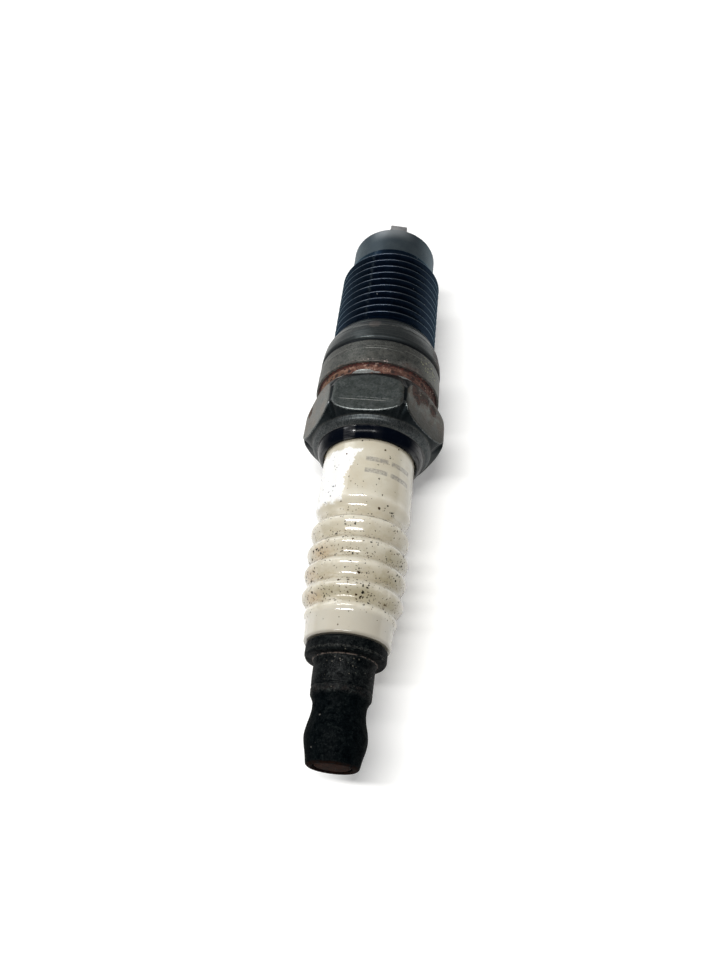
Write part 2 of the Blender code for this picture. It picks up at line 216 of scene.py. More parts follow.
def lathe(name, corners, angles=ROUND, closed=False, step=0.9, arc=4, relief=None, marks=None,
          sharp=40):
    """A turned piece. Its corners run up the outside from the firing end.

    A closed one goes back down its bore to where it began; others start and end on the axis.
    """
    skin = Skin(name)
    if closed:
        rings = outline_rings(corners + [corners[0]], angles, step, arc)
        ids = skin.stack(angles, rings[:-1], relief, marks)
        skin.band(ids[-1], ids[0])
    else:
        rings = outline_rings(corners, angles, step, arc)
        ids = skin.stack(angles, rings[1:-1], relief, marks)
        skin.cap(ids[0], corners[0][1], firing_end=True)
        skin.cap(ids[-1], corners[-1][1])
    return skin.make(sharp)


def thread_profile(root, pitch, half):
    """One pitch of thread as (offset, radius, crest), from rows measured out from its crest."""
    falling = [(pitch / 2 - away, radius, crest) for away, radius, crest in half[::-1]]
    rising = [(pitch / 2 + away, radius, crest) for away, radius, crest in half]
    return [(0.0, root, 0.0)] + falling + rising


def add_thread(skin, angles, start, pitch, turns, profile, root_at, fade_in, fade_out):
    """A right-hand thread between two plain rings, laid along the helix so its crest is smooth.

    Fades are in turns. Returns the two plain rings' point numbers.
    """
    count = len(profile)
    last = count * (turns - 1)
    lift = pitch * (angles - angles[0]) / math.tau
    top = start + pitch * turns
    root = min(radius for _, radius, _ in profile)

    def add_row(k, span):
        offset, radius, crest = profile[k % count]
        height = start + (k // count) * pitch + offset + lift[span]
        turn = (height - start - offset) / pitch
        share = smooth01(turn / fade_in) * smooth01((turns - 1 + 0.25 - turn) / fade_out)
        radius = np.maximum(root_at(height), root + (radius - root) * share)
        return skin.add(place(radius, angles[span], height), crest=crest * share)

    grid = [add_row(k, slice(None)) for k in range(last + 1)]
    seam = [row[0] for row in grid]
    seam += [add_row(k, slice(0, 1))[0] for k in range(last + 1, last + count)]
    low = np.append(grid[0][0], skin.add(place(root_at(start), angles[1:], start)))
    high = skin.add(place(root_at(top), angles, top))
    seam.append(high[0])
    faces = skin.faces
    for k in range(last):
        skin.quads(grid[k], grid[k + 1])
        faces.append([grid[k][-1], seam[k + count], seam[k + count + 1], grid[k + 1][-1]])
    # fill in between the helix's first pitch and the lower plain ring
    bottom_row, top_row = grid[0], grid[-1]
    faces.append([low[0], low[1], bottom_row[1]])
    skin.quads(low[1:], bottom_row[1:])
    for k in range(count):
        faces.append([seam[k], seam[k + 1], bottom_row[-1]])
    faces.append([low[-1], low[0], bottom_row[-1]])
    # and between its last pitch and the upper one
    for k in range(last, last + count - 1):
        faces.append([seam[k], top_row[1], seam[k + 1]])
    faces.append([seam[last + count - 1], top_row[1], high[1], high[0]])
    skin.quads(top_row[1:], high[1:])
    faces.append([top_row[-1], seam[last + count], high[-1]])
    return low, high


# ------------------------------------------------------------------ shell
SIXTH, TWELFTH = math.radians(60), math.radians(30)
SHELL_ROOT, SHELL_PITCH, SHELL_TURNS = 6.233, 1.25, 11
SHELL_THREAD_START = 7.453
SHELL_THREAD_END = SHELL_THREAD_START + SHELL_TURNS * SHELL_PITCH
# distance along from the crest, radius, crest
SHELL_THREAD = [
    (0.030, 7.000, 1.0), (0.062, 6.993, 0.7), (0.094, 6.965, 0.25), (0.130, 6.912, 0.0),
    (0.235, 6.730, 0.0), (0.36, 6.515, 0.0), (0.478, 6.310, 0.0), (0.528, 6.252, 0.0),
    (0.58, 6.235, 0.0),
]
# radius, height, rounding, wear
SHELL_NOSE = [
    (4.60, 2.10, 0, 0.3), (5.76, 2.10, 0.10, 0.5), (5.95, 2.32, 0.14, 0.3), (5.95, 6.62, 0.08),
    (SHELL_ROOT, 6.88, 0.08, 0.3), (SHELL_ROOT, SHELL_THREAD_START),
]
SHELL_COLLAR = [
    (6.93, SHELL_THREAD_END), (7.02, 21.30, 0.04, 0.15), (7.00, 21.46, 0.05),
    (7.20, 21.70, 0.05, 0.1), (7.18, 21.86, 0.05), (7.50, 22.30, 0.25, 0.1),
    (7.77, 23.05, 0.2, 0.05), (7.76, 23.20, 0.06), (7.92, 23.9, 0.3, 0.05), (8.00, 25.30, 0.13),
    (7.80, 25.50, 0.06), (7.78, 25.82, 0.08), (7.99, 26.04, 0.10, 0.1), (8.03, 27.36, 0.03),
    (8.00, 27.42, 0.02), (8.04, 27.48, 0.03), (8.05, 29.60, 0.05, 0.30), (7.66, 29.64, 0.06),
    (7.56, 29.76, 0.10), (7.50, 30.62, 0.12),
]
SHELL_LIP_AND_BORE = [
    (7.44, 37.43, 0.06), (7.40, 37.60, 0.06, 0.1), (7.33, 37.90, 0.12, 0.35),
    (7.10, 38.16, 0.16, 0.3), (6.80, 38.30, 0.14), (6.66, 38.40, 0.06), (6.62, 38.66, 0.12),
    (6.50, 39.10, 0.20), (6.26, 39.52, 0.22), (5.96, 39.74, 0.12, 0.1), (5.76, 39.72, 0.06, 0.1),
    (5.74, 39.50), (5.74, 38.52), (6.06, 38.04), (6.30, 37.66), (6.40, 37.28), (6.40, 29.24),
    (4.96, 28.30), (4.96, 14.90), (3.95, 14.20), (3.95, 13.40), (4.40, 12.92),
    (4.40, 2.30, 0.05, 0.2), (4.60, 2.10, 0, 0.3),
]


def shell_angles():
    """Bearings round the shell, closest together at the hexagon's corners."""
    sector = np.radians([0, 0.55, 1.1, 1.65, 2.2, 2.75, 3.3, 3.8, 4.25, 4.8, 5.8, 7.4, 9.4, 11.8,
                         14.4, 17.0, 19.6, 22.2, 24.8, 27.4])
    side = np.concatenate([sector, [TWELFTH], SIXTH - sector[:0:-1]])
    angles = np.concatenate([side + math.radians(60 * k) for k in range(6)])
    angles = np.sort(np.mod(angles + math.pi / 2, math.tau)) - math.pi / 2
    return angles[np.concatenate([[True], np.diff(angles) > 1e-6])]


def from_flat_middle(bearing):
    return np.abs(np.mod(bearing, SIXTH) - TWELFTH)


def hexagon(bearing):
    """The hexagon's radius, its corners rounded."""
    off_middle = from_flat_middle(bearing)
    off_corner = TWELFTH - off_middle
    core = HEX_FLAT - HEX_ROUNDING
    centre = core / math.cos(TWELFTH)
    inside = np.maximum(HEX_ROUNDING ** 2 - (centre * np.sin(off_corner)) ** 2, 0)
    corner = centre * np.cos(off_corner) + np.sqrt(inside)
    edge = math.atan(core * math.tan(TWELFTH) / HEX_FLAT)
    return np.where(off_middle > edge, corner, HEX_FLAT / np.cos(off_middle))


def flat_ends(bearing):
    """Heights where each flat begins and ends: curved by chamfers and rounded at the corners."""
    radius = hexagon(bearing)
    out = (radius - HEX_FLAT) / (hexagon(0.0) - HEX_FLAT)
    across = radius * np.sin(from_flat_middle(bearing))

    def cut_off(rounding):
        past = np.clip(across - (FLAT_HALF_WIDTH - rounding), 0, rounding * 0.97)
        return rounding - np.sqrt(rounding ** 2 - past ** 2)

    low = FLAT_LOW + FLAT_LOW_RISE * out + cut_off(FLAT_LOW_ROUNDING)
    high = FLAT_HIGH - FLAT_HIGH_DROP * out ** FLAT_HIGH_POWER - cut_off(FLAT_HIGH_ROUNDING)
    return low, high


def shell_skin():
    angles = shell_angles()
    hex_radius = hexagon(angles)
    low_edge, high_edge = flat_ends(angles)
    # 1 on a corner's middle, 0 where the flat starts
    corner = np.clip(1 - (TWELFTH - from_flat_middle(angles)) / math.radians(4.4), 0, 1)

    def relief(bearing, height, radius):
        return (0.010 * wobble(bearing, height, scale=1.1, seed=5)
                + 0.006 * wobble(bearing, height, scale=0.5, seed=6))

    def corner_wear(bearing, height, radius, wear):
        on_flat = (height >= low_edge - 0.02) & (height <= high_edge + 0.02)
        on_hex = on_flat & (height > 31.0) & (height < 37.7)
        return {"wear": np.maximum(wear, np.where(on_hex, corner * 0.25, 0))}

    def root_at(height):
        """The thread's root swells into the seat."""
        return np.interp(height, [7.45, 19.9, 21.2], [SHELL_ROOT, SHELL_ROOT, 6.93])

    skin = Skin("shell_body")
    nose = outline_rings(SHELL_NOSE, angles, step=0.6)
    nose_ids = skin.stack(angles, nose[:-1], relief, corner_wear)
    low, high = add_thread(
        skin, angles, start=SHELL_THREAD_START, pitch=SHELL_PITCH, turns=SHELL_TURNS,
        profile=thread_profile(SHELL_ROOT, SHELL_PITCH, SHELL_THREAD), root_at=root_at,
        fade_in=0.12, fade_out=0.5)
    skin.band(nose_ids[-1], low)
    hex_corners = [(hex_radius, low_edge, 0.12, 0.20), (hex_radius, high_edge, 0.16, 0.55)]
    rest = outline_rings(SHELL_COLLAR + hex_corners + SHELL_LIP_AND_BORE, angles, step=0.55)
    rest_ids = skin.stack(angles, rest[1:-1], relief, corner_wear)
    skin.band(high, rest_ids[0])
    skin.band(rest_ids[-1], nose_ids[0])
    return skin.make(sharp=38)


# ------------------------------------------------------------------ insulator
# radius, height of each rib's crown and of the valley below it
CROWNS = [(5.74, 50.28), (5.80, 53.14), (5.77, 55.62), (5.66, 58.32), (5.12, 60.50)]
VALLEYS = [(5.11, 49.55), (5.22, 52.12), (5.24, 54.60), (5.20, 57.14), (4.98, 59.62)]
# radius, height, rounding
INSULATOR_BELOW_RIBS = [
    (1.38, 3.10, 0.05), (1.95, 3.10, 0.10), (2.32, 3.50, 0.2), (2.95, 8.00, 0.5),
    (3.45, 12.0, 0.4), (3.70, 13.40, 0.2), (3.75, 14.48, 0.1), (4.75, 15.18, 0.1),
    (4.88, 15.36, 0.1), (4.88, 28.52, 0.2), (6.34, 29.48, 0.2), (6.34, 33.50, 0.3),
    (5.62, 34.12, 0.2), (5.64, 47.36), (5.63, 47.44), (5.59, 47.54), (5.36, 48.00),
    (5.19, 48.36), (5.135, 48.54), (5.105, 48.74), (5.095, 49.00), (5.10, 49.30),
]
INSULATOR_TOP_AND_BORE = [
    (5.12, 60.50), (5.07, 60.58), (5.00, 60.69), (4.956, 60.78), (4.920, 60.88), (4.893, 60.98),
    (4.877, 61.09), (4.869, 61.24), (4.74, 63.22, 0.10), (4.58, 63.35, 0.05), (2.22, 63.35, 0.06),
    (2.10, 63.23, 0.04), (2.10, 20.90, 0.1), (1.32, 20.20, 0.1), (1.32, 3.20, 0.04),
]


def half_wave(start, end, count):
    """Half a cosine from one (radius, height) to another, without its last point."""
    steps = [k / count for k in range(count)]
    return [(start[0] + (end[0] - start[0]) * (1 - math.cos(math.pi * t)) / 2,
             start[1] + (end[1] - start[1]) * t) for t in steps]


def insulator_skin():
    ribs = []
    for k, (valley, crown) in enumerate(zip(VALLEYS, CROWNS)):
        ribs += half_wave(valley, crown, 7)               # short rise out of the valley
        if k < 4:
            ribs += half_wave(crown, VALLEYS[k + 1], 12)  # longer fall from the crown
    valley_heights = [height for _, height in VALLEYS[1:]]

    def rib_marks(bearing, height, radius, wear):
        def near(places, width):
            bells = [np.exp(-((height - middle) / width) ** 2) for middle in places]
            return np.where((radius > 4.5) & (height > 40), np.max(bells, axis=0), 0)
        return {
            "valley": near([49.2] + valley_heights, width=0.55),
            "crown": near([47.25] + [crown for _, crown in CROWNS], width=0.46),
            "foot": near([49.85] + [valley + 0.30 for valley in valley_heights], width=0.20),
        }

    def relief(bearing, height, radius):
        uneven = 0.010 * wobble(bearing, height, scale=1.8, seed=11, waves=6)
        return np.where((height > 39.9) & (radius > 4.0), uneven, 0)

    corners = INSULATOR_BELOW_RIBS + ribs + INSULATOR_TOP_AND_BORE
    return lathe("insulator_body", corners, closed=True, step=0.7, relief=relief,
                 marks=rib_marks, sharp=50, arc=5)


# ------------------------------------------------------------------ terminal
# radius, height, rounding, wear
NUT = [
    (2.20, 63.40, 0.04), (4.24, 63.40, 0.08, 0.3), (4.41, 63.58, 0.10, 0.5),
    (4.42, 64.66, 0.12, 0.7), (4.22, 64.98, 0.10, 0.3), (3.52, 65.04, 0.06),
    (3.42, 65.14, 0.04, 0.7), (3.31, 65.30, 0.05), (3.29, 65.80, 0.1), (3.25, 67.92, 0.04, 0.1),
    (3.16, 67.98, 0.03), (3.16, 68.10, 0.03), (3.25, 68.17, 0.04, 0.2), (3.23, 68.76, 0.08, 0.45),
    (3.02, 69.10, 0.10, 0.1), (2.84, 69.50, 0.15), (2.80, 70.25, 0.3), (2.90, 71.00, 0.3),
    (3.10, 71.80, 0.3), (3.23, 72.50, 0.3), (3.25, 73.00, 0.22, 0.15), (3.14, 73.70, 0.3),
    (2.92, 74.50, 0.3), (2.78, 75.20, 0.14, 0.2), (2.70, 75.52, 0.10, 0.3),
    (2.46, 75.69, 0.06, 0.4), (2.20, 75.69, 0.05), (2.03, 75.54, 0.04), (2.03, 63.58, 0.04),
]
STUD_ROOT, STUD_PITCH, STUD_TURNS, STUD_THREAD_START = 1.56, 0.70, 16, 64.05
STUD_FOOT, STUD_TOP = 38.46, 75.60
# distance along from the crest, radius, crest
STUD_THREAD = [
    (0.02, 1.970, 1.0), (0.045, 1.962, 0.8), (0.075, 1.925, 0.1), (0.16, 1.790, 0),
    (0.24, 1.650, 0), (0.29, 1.575, 0),
]


def nut_skin():
    def relief(bearing, height, radius):
        rough = (0.016 * wobble(bearing, height, scale=0.8, seed=21, waves=8)
                 + 0.010 * wobble(bearing, height, scale=0.35, seed=22, waves=8))
        return np.where(radius > 2.5, rough, 0)

    return lathe("terminal_nut_body", NUT, closed=True, step=0.35, relief=relief, sharp=45)


def stud_skin():
    angles = np.linspace(0, math.tau, 72, endpoint=False) - math.pi / 2

    def relief(bearing, height, radius):
        knurled = (height > 38.8) & (height < 41.7) & (radius > 1.5)
        knurl = np.where(knurled, 0.03 * np.cos(18 * bearing), 0)
        dents = 0.012 * wobble(bearing, height, scale=0.4, seed=33)
        return knurl + np.where(height > 75.3, dents, 0)

    below = [(0.0, STUD_FOOT), (1.36, STUD_FOOT, 0.1), (1.53, 38.80, 0.05)]
    for k in range(3):                                    # three grooves round the knurl
        base = 38.80 + 0.8 * k + 0.8
        below += [(1.53, base + 0.04, 0.04), (1.42, base + 0.16, 0.04),
                  (1.42, base + 0.40, 0.04), (1.53, base + 0.52, 0.04)]
    below += [
        (1.53, 42.44, 0.05), (1.46, 42.60, 0.05), (1.46, 42.84, 0.05), (1.54, 43.0, 0.05),
        (1.54, 60.2, 0.1), (2.04, 60.6, 0.1, 0.2), (2.04, 63.30, 0.08, 0.2),
        (STUD_ROOT, 63.62, 0.05), (STUD_ROOT, 64.0),
    ]
    thread_end = STUD_THREAD_START + STUD_PITCH * STUD_TURNS
    above = [
        (STUD_ROOT, thread_end), (STUD_ROOT, thread_end + 0.02), (1.90, 75.34, 0.05, 0.2),
        (1.88, 75.50, 0.08, 0.4), (1.72, 75.58, 0.10, 0.4), (0.9, STUD_TOP, 0.2), (0.0, STUD_TOP),
    ]
    skin = Skin("terminal_stud_body")
    lower = skin.stack(angles, outline_rings(below, angles, step=0.8)[1:-1], relief)
    skin.cap(lower[0], STUD_FOOT, firing_end=True)
    low, high = add_thread(
        skin, angles, start=STUD_THREAD_START, pitch=STUD_PITCH, turns=STUD_TURNS,
        profile=thread_profile(STUD_ROOT, STUD_PITCH, STUD_THREAD),
        root_at=lambda height: STUD_ROOT, fade_in=0.4, fade_out=0.5)
    skin.band(lower[-1], low)
    upper = skin.stack(angles, outline_rings(above, angles, step=0.25)[1:-1], relief)
    skin.band(high, upper[0])
    skin.cap(upper[-1], STUD_TOP)
    return skin.make(sharp=38)


# ------------------------------------------------------------------ ground electrode
STRAP_OUT, STRAP_THICK, STRAP_WIDE = 5.66, 1.20, 2.40
STRAP_ROOT, STRAP_BEND, STRAP_REACH = 2.09, 1.70, -1.35   # heights, then the free end's radius
STRAP_CORNER = 0.16


def strap_section():
    """The bar's section: (through its thickness, across its width)."""
    section = []
    for side, edge, start in ((1, 1, 0), (-1, 1, 90), (-1, -1, 180), (1, -1, 270)):
        for angle in np.radians(np.linspace(start, start + 90, 4)):
            section.append((
                side * (STRAP_THICK / 2 - STRAP_CORNER) + STRAP_CORNER * math.cos(angle),
                edge * (STRAP_WIDE / 2 - STRAP_CORNER) + STRAP_CORNER * math.sin(angle)))
    return np.array(section)


def strap_line():
    """Stations (radius, height, angle turned) down the leg, round the bend and across the end."""
    middle = STRAP_OUT - STRAP_THICK / 2
    bend = STRAP_BEND - STRAP_THICK / 2
    line = [(middle, height, 0.0) for height in np.linspace(STRAP_ROOT, STRAP_BEND, 5)]
    for angle in np.linspace(0, math.pi / 2, 15)[1:]:
        line.append((middle - bend + bend * math.cos(angle),
                     STRAP_BEND - bend * math.sin(angle), angle))
    for radius in np.linspace(middle - bend, STRAP_REACH, 12)[1:]:
        line.append((radius, STRAP_BEND - bend, math.pi / 2))
    return line


def strap_skin():
    """A rounded rectangular bar bent over the firing end, a little wider at its root."""
    section, line = strap_section(), strap_line()
    outward = np.array([math.sin(LEAN), 0, math.cos(LEAN)])
    sideways = np.array([-math.cos(LEAN), 0, math.sin(LEAN)])
    firing = np.array([0, 1, 0])
    on_face = np.abs(np.abs(section[:, 0]) - STRAP_THICK / 2) < 0.1
    wear = np.where(on_face, 0.3, 0.0)
    skin = Skin("ground_electrode_strap")
    ids = []
    for k, (radius, height, angle) in enumerate(line):
        flare = 1 + 0.10 * max(0, 1 - (STRAP_ROOT - height) / 0.25)
        sized = section * np.array([1.0, flare])
        if k == len(line) - 1:
            sized = sized * np.array([0.86, 0.93])
        through = outward * math.cos(angle) + firing * math.sin(angle)
        centre = outward * radius - firing * height
        points = centre + sized[:, :1] * through + sized[:, 1:] * sideways
        ids.append(skin.add(points * MM + firing * FIRING_Y, wear=wear))
    for low, high in zip(ids, ids[1:]):
        skin.band(high, low)
    skin.faces += [ids[0], ids[-1][::-1]]
    return skin.make(sharp=50)


# ------------------------------------------------------------------ inner pieces
# node: (object, points round, outline of (radius, height, rounding, wear))
SOLID_PIECES = {
    "center_electrode": ("center_electrode_jacket", 72, [
        (0.0, 2.00), (1.20, 2.00, 0.06, 0.4), (1.27, 2.10, 0.05, 0.3), (1.27, 20.28, 0.05),
        (1.80, 20.84, 0.1), (1.80, 21.5, 0.1), (1.50, 21.80, 0.1), (0.76, 21.80, 0.04),
        (0.70, 21.72, 0.02), (0.70, 4.50, 0.1), (0.0, 4.30)]),
    "center_electrode_core": ("center_electrode_copper", 48, [
        (0.0, 4.38), (0.66, 4.56, 0.1), (0.66, 21.70, 0.03), (0.60, 21.78, 0.03), (0.0, 21.78)]),
    "lower_glass_seal": ("lower_glass_seal_body", 72, [
        (0.0, 21.84), (1.54, 21.84, 0.05), (1.86, 21.54, 0.05), (1.88, 20.92, 0.03),
        (2.06, 21.04, 0.03), (2.06, 26.50, 0.05), (0.0, 26.50)]),
    "suppressor_resistor": ("suppressor_resistor_body", 72, [
        (0.0, 26.53), (2.06, 26.53, 0.05), (2.06, 36.0, 0.05), (0.0, 36.0)]),
    "upper_glass_seal": ("upper_glass_seal_body", 72, [
        (0.0, 36.03), (2.06, 36.03, 0.05), (2.06, 42.0, 0.1), (1.72, 42.0, 0.05),
        (1.60, 41.9, 0.03), (1.60, 38.36, 0.05), (0.0, 38.36)]),
}


def solid_piece(node):
    name, count, corners = SOLID_PIECES[node]
    return lathe(name, corners, angles=np.linspace(0, math.tau, count, endpoint=False))


def talc_ring():
    corners = [(5.68, 34.72, 0.05), (6.34, 34.72, 0.05), (6.34, 36.66, 0.05), (5.68, 36.66, 0.05)]
    return lathe("talc_packing_ring", corners, closed=True)


def seat_washer():
    """A flat ring lying on the shell's inner cone."""
    def off_seat(radius, distance):
        return (radius - 0.5735 * distance,
                14.20 + (radius - 3.95) * 0.70 + 0.8192 * distance, 0.03)

    inner, outer, under, over_it = 4.02, 4.80, 0.03, 0.31
    return lathe("seat_washer_ring", [
        off_seat(inner, under), off_seat(outer, under),
        off_seat(outer, over_it), off_seat(inner, over_it),
    ], closed=True)


def packing_ring(name, height, radius=6.01, wire=0.31):
    turns = np.linspace(-math.pi / 2, 1.5 * math.pi, 20, endpoint=False)
    corners = [(radius + wire * math.cos(a), height + wire * math.sin(a)) for a in turns]
    return lathe(name, corners, closed=True)


# ------------------------------------------------------------------ shader building
class Value:
    """A number, vector or colour made by shader nodes. Arithmetic on it adds Math nodes."""

    def __init__(self, graph, socket):
        self.graph = graph
        self.socket = socket

    def __abs__(self):
        return self.graph.math("ABSOLUTE", self)

    def sqrt(self):
        return self.graph.math("SQRT", self)

    def ramp(self, low, high, start=0.0, end=1.0, shape="SMOOTHSTEP"):
        """Goes from start to end as this goes from low to high."""
        node = self.graph.node("ShaderNodeMapRange", interpolation_type=shape)
        self.graph.feed(node, self, low, high, start, end)
        return Value(self.graph, node.outputs[0])

    def line(self, low, high, start, end):
        return self.ramp(low, high, start, end, shape="LINEAR")

    def fall(self, low, high):
        return self.ramp(low, high, 1.0, 0.0)

    def within(self, low, high, soft=0.1):
        """1 between two values, with edges of this softness."""
        return self.ramp(low - soft, low + soft) * self.fall(high - soft, high + soft)

    def jitter(self, amount):
        """A noise centred on 0 and scaled."""
        return (self - 0.5) * amount


for method, operation in (("add", "ADD"), ("sub", "SUBTRACT"), ("mul", "MULTIPLY"),
                          ("truediv", "DIVIDE"), ("mod", "MODULO"), ("pow", "POWER")):
    setattr(Value, f"__{method}__",
            lambda value, other, kind=operation: value.graph.math(kind, value, other))
    setattr(Value, f"__r{method}__",
            lambda value, other, kind=operation: value.graph.math(kind, other, value))


def most(first, *others):
    for other in others:
        first = first.graph.math("MAXIMUM", first, other)
    return first


def mix(share, under, top):
    """under where share is 0 and top where it is 1; both numbers or both colours."""
    graph = share.graph
    colored = isinstance(top, tuple) or isinstance(top, Value) and top.socket.type == "RGBA"
    kind, first, second, output = ("RGBA", 6, 7, 2) if colored else ("FLOAT", 2, 3, 0)
    node = graph.node("ShaderNodeMix", data_type=kind)
    graph.put(node.inputs["Factor"], share)
    graph.put(node.inputs[first], under)
    graph.put(node.inputs[second], top)
    return Value(graph, node.outputs[output])


def layered(base, *layers):
    """Lay each (share, colour) over what is below it."""
    for share, top in layers:
        base = mix(share, base, top)
    return base


class Graph:
    def __init__(self, tree):
        self.tree = tree

    def node(self, kind, **settings):
        node = self.tree.nodes.new(kind)
        for key, setting in settings.items():
            setattr(node, key, setting)
        return node

    def put(self, socket, value):
        if isinstance(value, Value):
            self.tree.links.new(value.socket, socket)
        elif isinstance(value, tuple) and socket.type == "RGBA":
            socket.default_value = (*value, 1.0)
        else:
            socket.default_value = value

    def feed(self, node, *values):
        for socket, value in zip(node.inputs, values):
            self.put(socket, value)

    def math(self, operation, *values, clamp=False):
        node = self.node("ShaderNodeMath", operation=operation, use_clamp=clamp)
        self.feed(node, *values)
        return Value(self, node.outputs[0])

    def vector(self, operation, *values, scale=None, output=0):
        node = self.node("ShaderNodeVectorMath", operation=operation)
        self.feed(node, *values)
        if scale is not None:
            self.put(node.inputs["Scale"], scale)
        return Value(self, node.outputs[output])

    def camera_ray(self):
        return Value(self, self.node("ShaderNodeLightPath").outputs["Is Camera Ray"])


BSDF_INPUTS = {
    "color": "Base Color", "metal": "Metallic", "rough": "Roughness", "normal": "Normal",
    "coat": "Coat Weight", "coat_rough": "Coat Roughness", "spec": "Specular IOR Level",
    "tint": "Specular Tint", "sss": "Subsurface Weight", "sss_radius": "Subsurface Radius",
    "sss_scale": "Subsurface Scale", "glow": "Emission Strength", "glow_color": "Emission Color",
}


class Shader(Graph):
    """A material. Positions are in millimetres in the part's own frame, bearings in degrees."""

    def __init__(self, name):
        self.material = bpy.data.materials.new(name)
        self.material.use_nodes = True
        super().__init__(self.material.node_tree)
        self.tree.nodes.clear()
        output = self.node("ShaderNodeOutputMaterial")
        self.bsdf = self.node("ShaderNodeBsdfPrincipled")
        self.tree.links.new(self.bsdf.outputs[0], output.inputs[0])

    @cached_property
    def position(self):
        place_in_part = Value(self, self.node("ShaderNodeTexCoord").outputs["Object"])
        return self.vector("SCALE", place_in_part, scale=1 / MM)

    @cached_property
    def axes(self):
        node = self.node("ShaderNodeSeparateXYZ")
        self.feed(node, self.position)
        return [Value(self, socket) for socket in node.outputs]

    @cached_property
    def height(self):
        return FIRING_Y_MM - self.axes[1]

    @cached_property
    def radius(self):
        x, _, z = self.axes
        return (x * x + z * z).sqrt()

    @cached_property
    def from_top(self):
        """Radians from the top of the plug, growing towards +X."""
        return self.math("ARCTAN2", self.axes[0], self.axes[2])

    @cached_property
    def bearing(self):
        return 90.0 - self.from_top * (180 / math.pi)

    def shifted(self, where, shift):
        where = where or self.position
        return self.vector("ADD", where, (shift, shift * 0.7, -shift)) if shift else where

    def noise(self, scale, detail=4.0, rough=0.55, warp=0.0, shift=0.0, where=None, output=0):
        node = self.node("ShaderNodeTexNoise")
        for name, value in (("Vector", self.shifted(where, shift)), ("Scale", scale),
                            ("Detail", detail), ("Roughness", rough), ("Distortion", warp)):
            self.put(node.inputs[name], value)
        return Value(self, node.outputs[output])

    def streaks(self, around, along, **settings):
        """Noise drawn out round the axis (small around) or along it (small along)."""
        where = self.vector("MULTIPLY", self.position, (around, along, around))
        return self.noise(1.0, where=where, **settings)

    def specks(self, scale, share, small, large, shift=0.0, where=None, power=None, edge=1.25):
        """Round spots: a share of the cells hold one, its radius from small to large (in cells).

        A power above 1 makes small ones commoner; edge is where they have faded out.
        """
        node = self.node("ShaderNodeTexVoronoi")
        self.put(node.inputs["Vector"], self.shifted(where, shift))
        self.put(node.inputs["Scale"], scale)
        split = self.node("ShaderNodeSeparateColor")
        self.feed(split, Value(self, node.outputs["Color"]))
        pick, size = Value(self, split.outputs[0]), Value(self, split.outputs[1])
        if power:
            size = size ** power
        radius = size.line(0.0, 1.0, small, large)
        inside = (Value(self, node.outputs["Distance"]) / radius).fall(0.75, edge)
        return inside * self.math("LESS_THAN", pick, share)

    def attribute(self, name):
        node = self.node("ShaderNodeAttribute", attribute_name=name)
        return Value(self, node.outputs["Fac"])

    def spread(self, bearing, height, radius, size, noise, ragged, along=1):
        """Distance from a point of the surface, in sizes; along squeezes it lengthwise."""
        angle = math.radians(bearing)
        centre = (radius * math.cos(angle), (FIRING_Y_MM - height) * along,
                  radius * math.sin(angle))
        squeezed = self.vector("MULTIPLY", self.position, (1, along, 1))
        distance = self.vector("DISTANCE", squeezed, centre, output="Value")
        return distance / size + noise.jitter(ragged * 2)

    def patch(self, *spot):
        """A ragged patch; its arguments are those of spread."""
        return self.spread(*spot).fall(0.8, 1.05)

    def haze(self, *spot):
        """Like patch, fading out from its middle."""
        return self.spread(*spot).fall(0.15, 1.15)

    def patches(self, *spots):
        return most(*[self.patch(*spot) for spot in spots])

    def hazes(self, *spots):
        return most(*[self.haze(*spot) for spot in spots])

    def paint(self, mask, color, amount=None, rough=None):
        """Lay a colour over the running one, and a roughness by the whole mask."""
        self.color = mix(mask if amount is None else mask * amount, self.color, color)
        if rough is not None:
            self.rough = mix(mask, self.rough, rough)

    def bump(self, relief, depth, strength):
        node = self.node("ShaderNodeBump")
        for name, value in (("Strength", strength), ("Distance", depth * MM), ("Height", relief)):
            self.put(node.inputs[name], value)
        return Value(self, node.outputs[0])

    def finish(self, **values):
        for key, value in values.items():
            self.put(self.bsdf.inputs[BSDF_INPUTS[key]], value)
        return self.material


# In the materials below: within(low, high, soft) takes millimetres or degrees, ramp and fall take
# the limits of a noise's soft threshold, and line takes (low, high) and what they become.

# ------------------------------------------------------------------ shell material
def shell_textures(mat):
    mat.wear = mat.attribute("wear")
    mat.coarse = mat.noise(0.50, detail=4, rough=0.55)
    mat.mid = mat.noise(1.6, detail=7, rough=0.68, warp=0.5)
    mat.fine = mat.noise(6.0, detail=6, rough=0.72)
    mat.grain = mat.noise(13.0, detail=4, rough=0.75, shift=23)
    mat.grit = mat.noise(30.0, detail=2, rough=0.6)
    mat.turned = mat.streaks(around=0.30, along=9.0, detail=4, rough=0.6)
    mat.mottle = mat.mid * 0.38 + mat.fine * 0.40 + mat.grain * 0.22
    mat.dark_dots = mat.specks(2.1, share=0.30, small=0.12, large=0.36, shift=15)
    mat.rust_grain = mat.noise(2.6, detail=7, rough=0.75, warp=0.6, shift=2)
    mat.rust_bloom = mat.noise(1.7, detail=5, rough=0.64, warp=0.6, shift=5)


